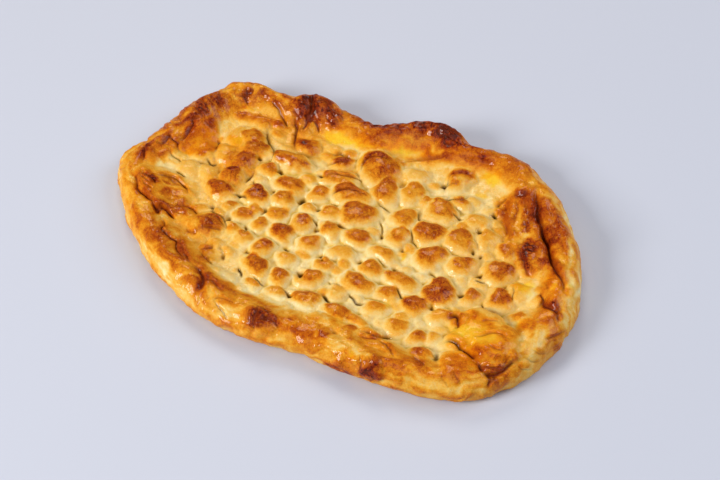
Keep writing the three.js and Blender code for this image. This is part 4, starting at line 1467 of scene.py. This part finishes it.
def add_node(tree: Tree, kind: str, inputs: Inputs, output: int | str = 0,
             stops: Sequence[tuple[float, str]] = (), **settings: object) -> Socket:
    """Add a node with its settings, values and links.

    Args:
        tree: The node tree.
        kind: The node's type name, without its prefix.
        inputs: Values, or sockets to link, in order or by input name or number.
        output: Name or number of the output that is wanted.
        stops: The stops of its colour ramp and their colours, if it has one.
        settings: The node's own properties.

    Returns:
        The output's socket.
    """
    node = tree.nodes.new("ShaderNode" + kind)
    for name, value in settings.items():
        setattr(node, name, value)
    for k, (stop, colour) in enumerate(stops):
        ramp = node.color_ramp.elements
        element = ramp[k] if k < len(ramp) else ramp.new(stop)
        element.position = stop
        element.color = linear(colour)
    feed(node, inputs)
    return node.outputs[output]


@dataclass(frozen=True)
class CrustFinish:
    """Egg-washed bread crust, deck-baked: a thin glossy skin of browned starch.

    The skin is a warm dielectric with a soft sheen. It is matt cream where the dough
    stayed low and moist, and darker, redder and shinier where it stood up and browned.
    Its colour also carries painted shade in the creases, pits and hollows, and painted
    bounce light in the hollows.
    """

    name: str = "egg_washed_bread_crust"
    # Colours of crust by bake, from raw-looking cream to char.
    ladder: tuple[tuple[float, str], ...] = (
        (0.00, "#F4E0A6"), (0.12, "#F1D084"), (0.24, "#F0BA52"), (0.36, "#EAA22E"), (0.48, "#DF8D18"),
        (0.60, "#D2770E"), (0.72, "#BD5F0A"), (0.84, "#A24006"), (0.93, "#7E2203"), (1.00, "#4A1404"),
    )
    butter: str = "#FFE85A"
    # Painted shade and painted bounce light in the hollows: light that bounced from dough to
    # dough in them comes out darker and yellower, so tints go from none in the open to the
    # bottom of the deepest.
    hollow_shade: tuple[tuple[float, str], ...] = ((0.0, "#FFFFFF"), (0.55, "#EED68C"), (1.0, "#B68E3E"))
    # Painted shade in the crease lines and pits, in pale and in browned crust, and the bake from one to the
    # other.
    crease: tuple[str, str] = ("#4E3008", "#7C2C08")
    crease_bake: Span = (0.20, 0.38)
    # Where a line's full painted shade and its last shade end, counted in the crease's widths.
    crease_line: Span = (0.1, 1.25)
    crease_depth_mm: float = 0.6
    ior: float = 1.45
    specular: float = 0.05
    # Roughness of pale and of browned crust, and the bake from one to the other.
    roughness: Span = (0.55, 0.34)
    roughness_bake: Span = (0.1, 0.7)
    coat_weight: float = 0.30
    coat_roughness: float = 0.10
    # Red light goes furthest through the crumb, and blue least far.
    subsurface: float = 0.10
    subsurface_reach_mm: float = 1.5
    subsurface_shares: tuple[float, float, float] = (1.0, 0.45, 0.18)
    noise_roughness: float = 0.6
    # Mottles and freckles, and how far each spreads the bake.
    mottle_detail: float = 3.0
    mottle_mm: float = 4.0
    mottle_spread: float = 0.30
    fleck_mm: float = 1.5
    fleck_swirl: float = 1.2
    fleck_spread: float = 0.60
    # Their strength on pale and on browned crust, and the bake from one to the other.
    fleck_strength: Span = (0.4, 1.0)
    fleck_bake: Span = (0.1, 0.6)
    # Pores of the thin skin.
    pore_mm: float = 1.6
    pore_detail: float = 4.0
    pore_depth_mm: float = 0.75
    # Wrinkles: how far apart, and how much finer and fainter the finer ones are.
    wrinkle_mm: float = 8.0
    wrinkle_layers: tuple[Span, ...] = ((1.0, 1.0), (2.0, 0.85), (4.0, 0.55))
    wrinkle_detail: float = 1.5
    wrinkle_swirl: float = 0.4
    wrinkle_line: float = 0.11
    wrinkle_depth_mm: float = 0.60
    wrinkle_bake: float = 0.18
    # Breaks in them: their size against the wrinkles', and the noise that ends them.
    break_size: float = 1.7
    break_detail: float = 1.0
    break_edge: Span = (0.42, 0.56)

    def material(self) -> bpy.types.Material:
        """Make the crust material.

        Returns:
            The material, which reads the skin's attributes bake, crease, gap, hollow,
            wrinkle and butter.
        """
        material = bpy.data.materials.new(self.name)
        material.use_nodes = True
        tree = material.node_tree
        place = add_node(tree, "TexCoord", (), "Object")
        skin = {name: add_node(tree, "Attribute", (), "Fac", attribute_name=name) for name in SKIN_LAYERS}
        level = self.freckled(tree, place, skin["bake"])
        lines = self.wrinkled(tree, place, skin["wrinkle"])
        crease_shade = self.crease_shade(tree, skin["gap"], skin["crease"])
        feed(tree.nodes["Principled BSDF"], {
            "Base Color": self.coloured(tree, skin, level, lines, crease_shade),
            "Roughness": add_node(tree, "MapRange", (level, *self.roughness_bake, *self.roughness)),
            "Normal": self.embossed(tree, place, lines, crease_shade),
            "IOR": self.ior,
            "Specular IOR Level": self.specular,
            "Coat Weight": self.coat_weight,
            "Coat Roughness": self.coat_roughness,
            "Subsurface Weight": self.subsurface,
            "Subsurface Radius": self.subsurface_shares,
            "Subsurface Scale": self.subsurface_reach_mm * MM,
        })
        return material

    def grained(self, place: Socket, size_mm: float, detail: float, swirl: float = 0.0) -> Inputs:
        """Inputs of noise with bumps of a real size.

        Args:
            place: The socket with the coordinates in metres.
            size_mm: Size of the largest bumps.
            detail: How many finer layers are summed.
            swirl: How far the noise pulls itself about.

        Returns:
            The noise node's inputs, by name.
        """
        return {"Vector": place, "Scale": 1.0 / (size_mm * MM), "Detail": detail,
                "Roughness": self.noise_roughness, "Distortion": swirl}

    def freckled(self, tree: Tree, place: Socket, bake: Socket) -> Socket:
        """Spread the bake with mottles and freckles, least of all where it is pale.

        Args:
            tree: The material's node tree.
            place: The socket with the coordinates in metres.
            bake: The socket with the bake.

        Returns:
            The socket with the freckled bake, from 0 to 1.
        """
        mottle = add_node(tree, "TexNoise", self.grained(place, self.mottle_mm, self.mottle_detail), "Fac")
        flecks = self.grained(place, self.fleck_mm, self.mottle_detail, self.fleck_swirl)
        fleck = add_node(tree, "TexNoise", flecks, "Fac")
        broad = add_node(tree, "Math", (mottle, self.mottle_spread), operation="MULTIPLY")
        both = add_node(tree, "Math", (fleck, self.fleck_spread, broad), operation="MULTIPLY_ADD")
        middle = 0.5 * (self.mottle_spread + self.fleck_spread)
        even = add_node(tree, "Math", (both, middle), operation="SUBTRACT")
        strength = add_node(tree, "MapRange", (bake, *self.fleck_bake, *self.fleck_strength))
        return add_node(tree, "Math", (even, strength, bake), operation="MULTIPLY_ADD")

    def wrinkled(self, tree: Tree, place: Socket, wrinkle: Socket) -> Socket:
        """Draw broken thin lines where the skin has wrinkled, finer ones between them.

        Args:
            tree: The material's node tree.
            place: The socket with the coordinates in metres.
            wrinkle: The socket that says how wrinkled the skin is.

        Returns:
            The socket that is 1 on a line, and 0 clear of one.
        """
        lines: Socket | float = 0.0
        for finer, share in self.wrinkle_layers:
            size = self.wrinkle_mm / finer
            wandering = self.grained(place, size, self.wrinkle_detail, self.wrinkle_swirl)
            wander = add_node(tree, "TexNoise", wandering, "Fac")
            centred = add_node(tree, "Math", (wander, 0.5), operation="SUBTRACT")
            away = add_node(tree, "Math", (centred,), operation="ABSOLUTE")
            line = add_node(tree, "MapRange", (away, 0.0, self.wrinkle_line, 1.0, 0.0),
                            interpolation_type="SMOOTHSTEP")
            patchy = self.grained(place, self.break_size * size, self.break_detail)
            patch = add_node(tree, "TexNoise", patchy, "Fac")
            breaks = add_node(tree, "MapRange", (patch, *self.break_edge))
            broken = add_node(tree, "Math", (line, breaks), operation="MULTIPLY")
            drawn = add_node(tree, "Math", (broken, wrinkle), operation="MULTIPLY")
            faint = add_node(tree, "Math", (drawn, share), operation="MULTIPLY")
            lines = add_node(tree, "Math", (lines, faint), operation="MAXIMUM")
        return lines

    def crease_shade(self, tree: Tree, gap: Socket, crease: Socket) -> Socket:
        """Draw the crease lines as painted shade.

        Args:
            tree: The material's node tree.
            gap: The socket with the distance from a crease.
            crease: The socket that says how dark the crease's painted shade is.

        Returns:
            The socket with the strength of the painted shade.
        """
        away = add_node(tree, "Math", (gap,), operation="ABSOLUTE")
        line = add_node(tree, "MapRange", (away, *self.crease_line, 1.0, 0.0),
                        interpolation_type="SMOOTHSTEP")
        return add_node(tree, "Math", (line, crease), operation="MULTIPLY")

    def coloured(self, tree: Tree, skin: dict[str, Socket], level: Socket, lines: Socket,
                 crease_shade: Socket) -> Socket:
        """Colour the crust by its bake, then add the butter, the painted shade of the hollows and the painted
        shade of the creases.

        Args:
            tree: The material's node tree.
            skin: The sockets with the skin's attributes, by name.
            level: The socket with the freckled bake.
            lines: The socket with the wrinkles.
            crease_shade: The socket with the crease lines' painted shade.

        Returns:
            The colour socket.
        """
        browned = add_node(tree, "Math", (lines, self.wrinkle_bake, level), operation="MULTIPLY_ADD")
        crust = add_node(tree, "ValToRGB", (browned,), stops=self.ladder)
        # Painted shade and painted bounce light of the hollows.
        hollow_shade_tint = add_node(tree, "ValToRGB", (skin["hollow_shade"],), stops=self.hollow_shade)
        # Painted shade for the crease lines and pits: olive in pale crust, red-brown in browned.
        ripe = add_node(tree, "MapRange", (level, *self.crease_bake))
        pale, brown = (linear(colour) for colour in self.crease)
        shade_ink = add_node(tree, "Mix", {0: ripe, FIRST: pale, SECOND: brown}, MIXED, data_type="RGBA")
        # Butter, and then the painted shade of the hollows, tint the crust.
        for share, colour in ((skin["butter"], linear(self.butter)), (1.0, hollow_shade_tint)):
            crust = add_node(tree, "Mix", {0: share, FIRST: crust, SECOND: colour}, MIXED,
                             data_type="RGBA", blend_type="MULTIPLY")
        return add_node(tree, "Mix", {0: crease_shade, FIRST: crust, SECOND: shade_ink}, MIXED, data_type="RGBA")

    def embossed(self, tree: Tree, place: Socket, lines: Socket, crease_shade: Socket) -> Socket:
        """Raise the pores, and sink the wrinkles and the creases.

        Args:
            tree: The material's node tree.
            place: The socket with the coordinates in metres.
            lines: The socket with the wrinkles.
            crease_shade: The socket with the crease lines, the strength of their painted shade.

        Returns:
            The normal's socket.
        """
        pore = add_node(tree, "TexNoise", self.grained(place, self.pore_mm, self.pore_detail), "Fac")
        skin = add_node(tree, "Math", (pore, self.pore_depth_mm), operation="MULTIPLY")
        pulled = add_node(tree, "Math", (lines, -self.wrinkle_depth_mm, skin), operation="MULTIPLY_ADD")
        cut = add_node(tree, "Math", (crease_shade, -self.crease_depth_mm, pulled), operation="MULTIPLY_ADD")
        return add_node(tree, "Bump", {"Strength": 1.0, "Distance": MM, "Height": cut})


# ---- The loaf -------------------------------------------------------------------


def add_object(name: str, data: bpy.types.ID) -> bpy.types.Object:
    """Add an object to the scene.

    Args:
        name: The object's name.
        data: Its mesh, light or camera.

    Returns:
        The object.
    """
    body = bpy.data.objects.new(name, data)
    bpy.context.scene.collection.objects.link(body)
    return body


@dataclass
class PideLoaf:
    """The whole bread: one closed skin over the crumb."""

    plan: Plan = field(default_factory=Plan)
    rim: Rim = field(default_factory=Rim)
    finish: CrustFinish = field(default_factory=CrustFinish)
    cells_along: int = 380
    cells_across: int = 260
    # The top takes most of the sheet's rings; the wall, the rest.
    top_share: float = 0.84
    # How far a slope draws the skin sideways, which steepens the pillows' sides.
    pinch: float = 0.4
    pinch_blur: float = 1.2
    # The relief fades out under the rim, between these angles of the tuck.
    settle: Span = (0.5, 1.5)
    # Angle from the end of the tuck within which the skin lies on the base.
    flat: float = 1e-6
    crust: CrustMap = field(init=False)

    def __post_init__(self) -> None:
        """Shape and bake the crust, step by step."""
        self.crust = CrustMap(self.plan, self.rim)
        for step in STEPS:
            step.work(self.crust)

    def build(self) -> bpy.types.Object:
        """Make the loaf's mesh and dress it.

        Returns:
            The loaf's object.
        """
        skin = bmesh.new()
        bmesh.ops.create_grid(skin, x_segments=self.cells_along, y_segments=self.cells_across, size=1.0)
        turn, x, y = self.wrap(np.array([vertex.co[:2] for vertex in skin.verts]))
        for vertex, place in zip(skin.verts, self.lay_skin(turn, x, y) * MM):
            vertex.co = place
        bmesh.ops.edgeloop_fill(skin, edges=[edge for edge in skin.edges if edge.is_boundary])
        bmesh.ops.recalc_face_normals(skin, faces=skin.faces)
        mesh = bpy.data.meshes.new(LOAF_NODE + "_crust")
        skin.to_mesh(mesh)
        skin.free()
        # The base alone is flat, and the only face with more than four corners.
        mesh.polygons.foreach_set("use_smooth", [len(face.vertices) == 4 for face in mesh.polygons])
        for name in SKIN_LAYERS:
            values = self.crust.read(getattr(self.crust, name), x, y)
            layer = mesh.attributes.new(name, "FLOAT", "POINT")
            layer.data.foreach_set("value", values.astype(np.float32))
        mesh.materials.append(self.finish.material())
        return add_object("pide_crust", mesh)

    def wrap(self, sheet: Array) -> tuple[Array, Array, Array]:
        """Wrap the square sheet onto the unrolled skin, ring by ring.

        Args:
            sheet: The sheet's points, from -1 to 1 each way.

        Returns:
            Each point's turn and its place on the unrolled skin.
        """
        u, v = sheet[:, 0], sheet[:, 1]
        ring = np.maximum(np.abs(u), np.abs(v))
        safe = np.where(ring > 0.0, ring, 1.0)
        # Each side of the sheet takes a quarter of the turn, half of it either way.
        ends = np.where(u > 0, 0.0, 0.5) + v / np.where(u == 0, safe, u) / 8.0
        sides = np.where(v > 0, 0.25, 0.75) - u / np.where(v == 0, safe, v) / 8.0
        turn = np.where(np.abs(u) >= np.abs(v), ends, sides)
        across, up, reach = self.plan.ray(turn)
        away = (reach - self.rim.crest_inset) * np.minimum(ring / self.top_share, 1.0)
        wall = np.clip((ring - self.top_share) / (1.0 - self.top_share), 0.0, 1.0)
        away += (self.rim.shoulder + self.rim.tuck) * wall
        return turn, across * away, up * away

    def lay_skin(self, turn: Array, x: Array, y: Array) -> Array:
        """Bend the unrolled skin over the rim and add its relief.

        Args:
            turn: Each point's turn.
            x: Places along the unrolled skin.
            y: Places across it.

        Returns:
            The points in the loaf's frame, in millimetres.
        """
        rim, crust = self.rim, self.crust
        across, up, reach = self.plan.ray(turn)
        inset = reach - np.hypot(x, y)
        past = np.clip(rim.crest_inset - inset, 0.0, None)
        shoulder = np.clip(past / rim.shoulder, 0.0, 1.0) * QUARTER_TURN
        tuck = np.clip((past - rim.shoulder) / rim.tuck, 0.0, 1.0) * QUARTER_TURN
        floor = ease(inset, rim.crest_inset, rim.foot_inset)
        top = blend(round_table(rim.crest, turn), rim.floor, floor)
        height = np.where(past < rim.shoulder, rim.equator + (top - rim.equator) * np.cos(shoulder),
                          rim.equator * (1.0 - np.sin(tuck)))
        drawn = np.where(past > 0.0, rim.crest_inset * (1.0 - np.sin(shoulder)), inset)
        drawn = np.where(past > rim.shoulder, rim.undercut * (1.0 - np.cos(tuck)), drawn)
        outward, upward = np.sin(shoulder) * np.cos(tuck), np.cos(shoulder) - np.sin(tuck)
        relief = crust.read(crust.relief, x, y) * (1.0 - ease(tuck, *self.settle))
        away = reach - drawn + outward * relief
        slope_y, slope_x = np.gradient(crust.blur(crust.relief, self.pinch_blur), crust.STEP)
        pinch = self.pinch * (past == 0.0) * ease(inset, rim.crest_inset, rim.crest_inset + rim.brow)
        px = across * away - pinch * crust.read(slope_x, x, y)
        py = up * away - pinch * crust.read(slope_y, x, y)
        pz = np.clip(height + upward * relief, 0.0, None)
        pz = np.where(tuck >= QUARTER_TURN - self.flat, 0.0, pz)
        return np.stack([px, py, pz], axis=-1)


# ---- The studio -----------------------------------------------------------------


def direction(bearing: float, elevation: float) -> Vector:
    """Turn two angles into a direction.

    Args:
        bearing: Degrees anticlockwise from +X, seen from above.
        elevation: Degrees up from level.

    Returns:
        The unit vector.
    """
    turn, rise = math.radians(bearing), math.radians(elevation)
    level = math.cos(rise)
    return Vector((level * math.cos(turn), level * math.sin(turn), math.sin(rise)))


@dataclass(frozen=True)
class SoftBox:
    """A square soft light, given by where it stands round the loaf."""

    name: str
    bearing: float
    elevation: float
    distance: float
    side: float
    power: float
    colour: str

    def place(self) -> None:
        """Stand the light and aim it at the loaf."""
        lamp = bpy.data.lights.new(self.name, "AREA")
        lamp.shape = "SQUARE"
        lamp.size = self.side
        lamp.energy = self.power
        lamp.color = linear(self.colour)[:3]
        body = add_object(self.name, lamp)
        body.location = self.distance * direction(self.bearing, self.elevation)
        body.rotation_euler = body.location.to_track_quat("Z", "Y").to_euler()


@dataclass(frozen=True)
class Studio:
    """Pale floor, soft light and a long lens looking down over the loaf's corner."""

    floor_colour: str = "#CCD0DD"
    floor_roughness: float = 0.6
    floor_side: float = 6.0
    world_colour: str = "#E2E8F2"
    world_strength: float = 0.20
    camera_bearing: float = -62.0
    camera_elevation: float = 50.0
    camera_distance: float = 1.094
    lens_mm: float = 70.0
    aim: tuple[float, float, float] = (0.0179, -0.0069, 0.010)
    lights: tuple[SoftBox, ...] = (
        SoftBox("key", 234.0, 29.0, 2.8, 1.0, 66.0, "#FFFDFA"),
        SoftBox("fill", 40.0, 38.0, 2.8, 1.8, 32.0, "#F8FAFF"),
        SoftBox("back", 124.0, 46.0, 2.8, 0.9, 16.0, "#FFF2E2"),
        SoftBox("top", 300.0, 62.0, 2.8, 2.4, 18.0, "#F8FAFF"),
    )

    def build(self) -> None:
        """Lay the floor, set the lights and stand the camera."""
        self.lay_floor()
        for light in self.lights:
            light.place()
        self.light_world()
        self.stand_camera()
        bpy.context.scene.view_settings.view_transform = "Standard"

    def lay_floor(self) -> None:
        """Lay a plain pale floor."""
        sheet = bmesh.new()
        bmesh.ops.create_grid(sheet, x_segments=1, y_segments=1, size=self.floor_side / 2.0)
        mesh = bpy.data.meshes.new("floor")
        sheet.to_mesh(mesh)
        sheet.free()
        material = bpy.data.materials.new("honed_pale_stone")
        material.use_nodes = True
        feed(material.node_tree.nodes["Principled BSDF"],
             {"Base Color": linear(self.floor_colour), "Roughness": self.floor_roughness})
        mesh.materials.append(material)
        add_object("floor", mesh)

    def light_world(self) -> None:
        """Fill the shadows with even light from all round."""
        world = bpy.data.worlds.new("studio")
        world.use_nodes = True
        feed(world.node_tree.nodes["Background"],
             {"Color": linear(self.world_colour), "Strength": self.world_strength})
        bpy.context.scene.world = world

    def stand_camera(self) -> None:
        """Stand the camera at its bearing, looking down at the loaf."""
        lens = bpy.data.cameras.new("camera")
        lens.lens = self.lens_mm
        camera = add_object("camera", lens)
        back = direction(self.camera_bearing, self.camera_elevation)
        camera.location = Vector(self.aim) + self.camera_distance * back
        camera.rotation_euler = back.to_track_quat("Z", "Y").to_euler()
        bpy.context.scene.camera = camera


def main() -> None:
    """Build the loaf and the studio, and report each piece."""
    logging.basicConfig(level=logging.INFO, format="%(name)s: %(message)s")
    loaf = PideLoaf().build()
    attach(loaf, "root")
    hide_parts(LOAF_NODE)
    LOG.info("%s has %d faces", loaf.name, len(loaf.data.polygons))
    Studio().build()
    LOG.info("studio is ready")


if __name__ == "__main__":
    main()
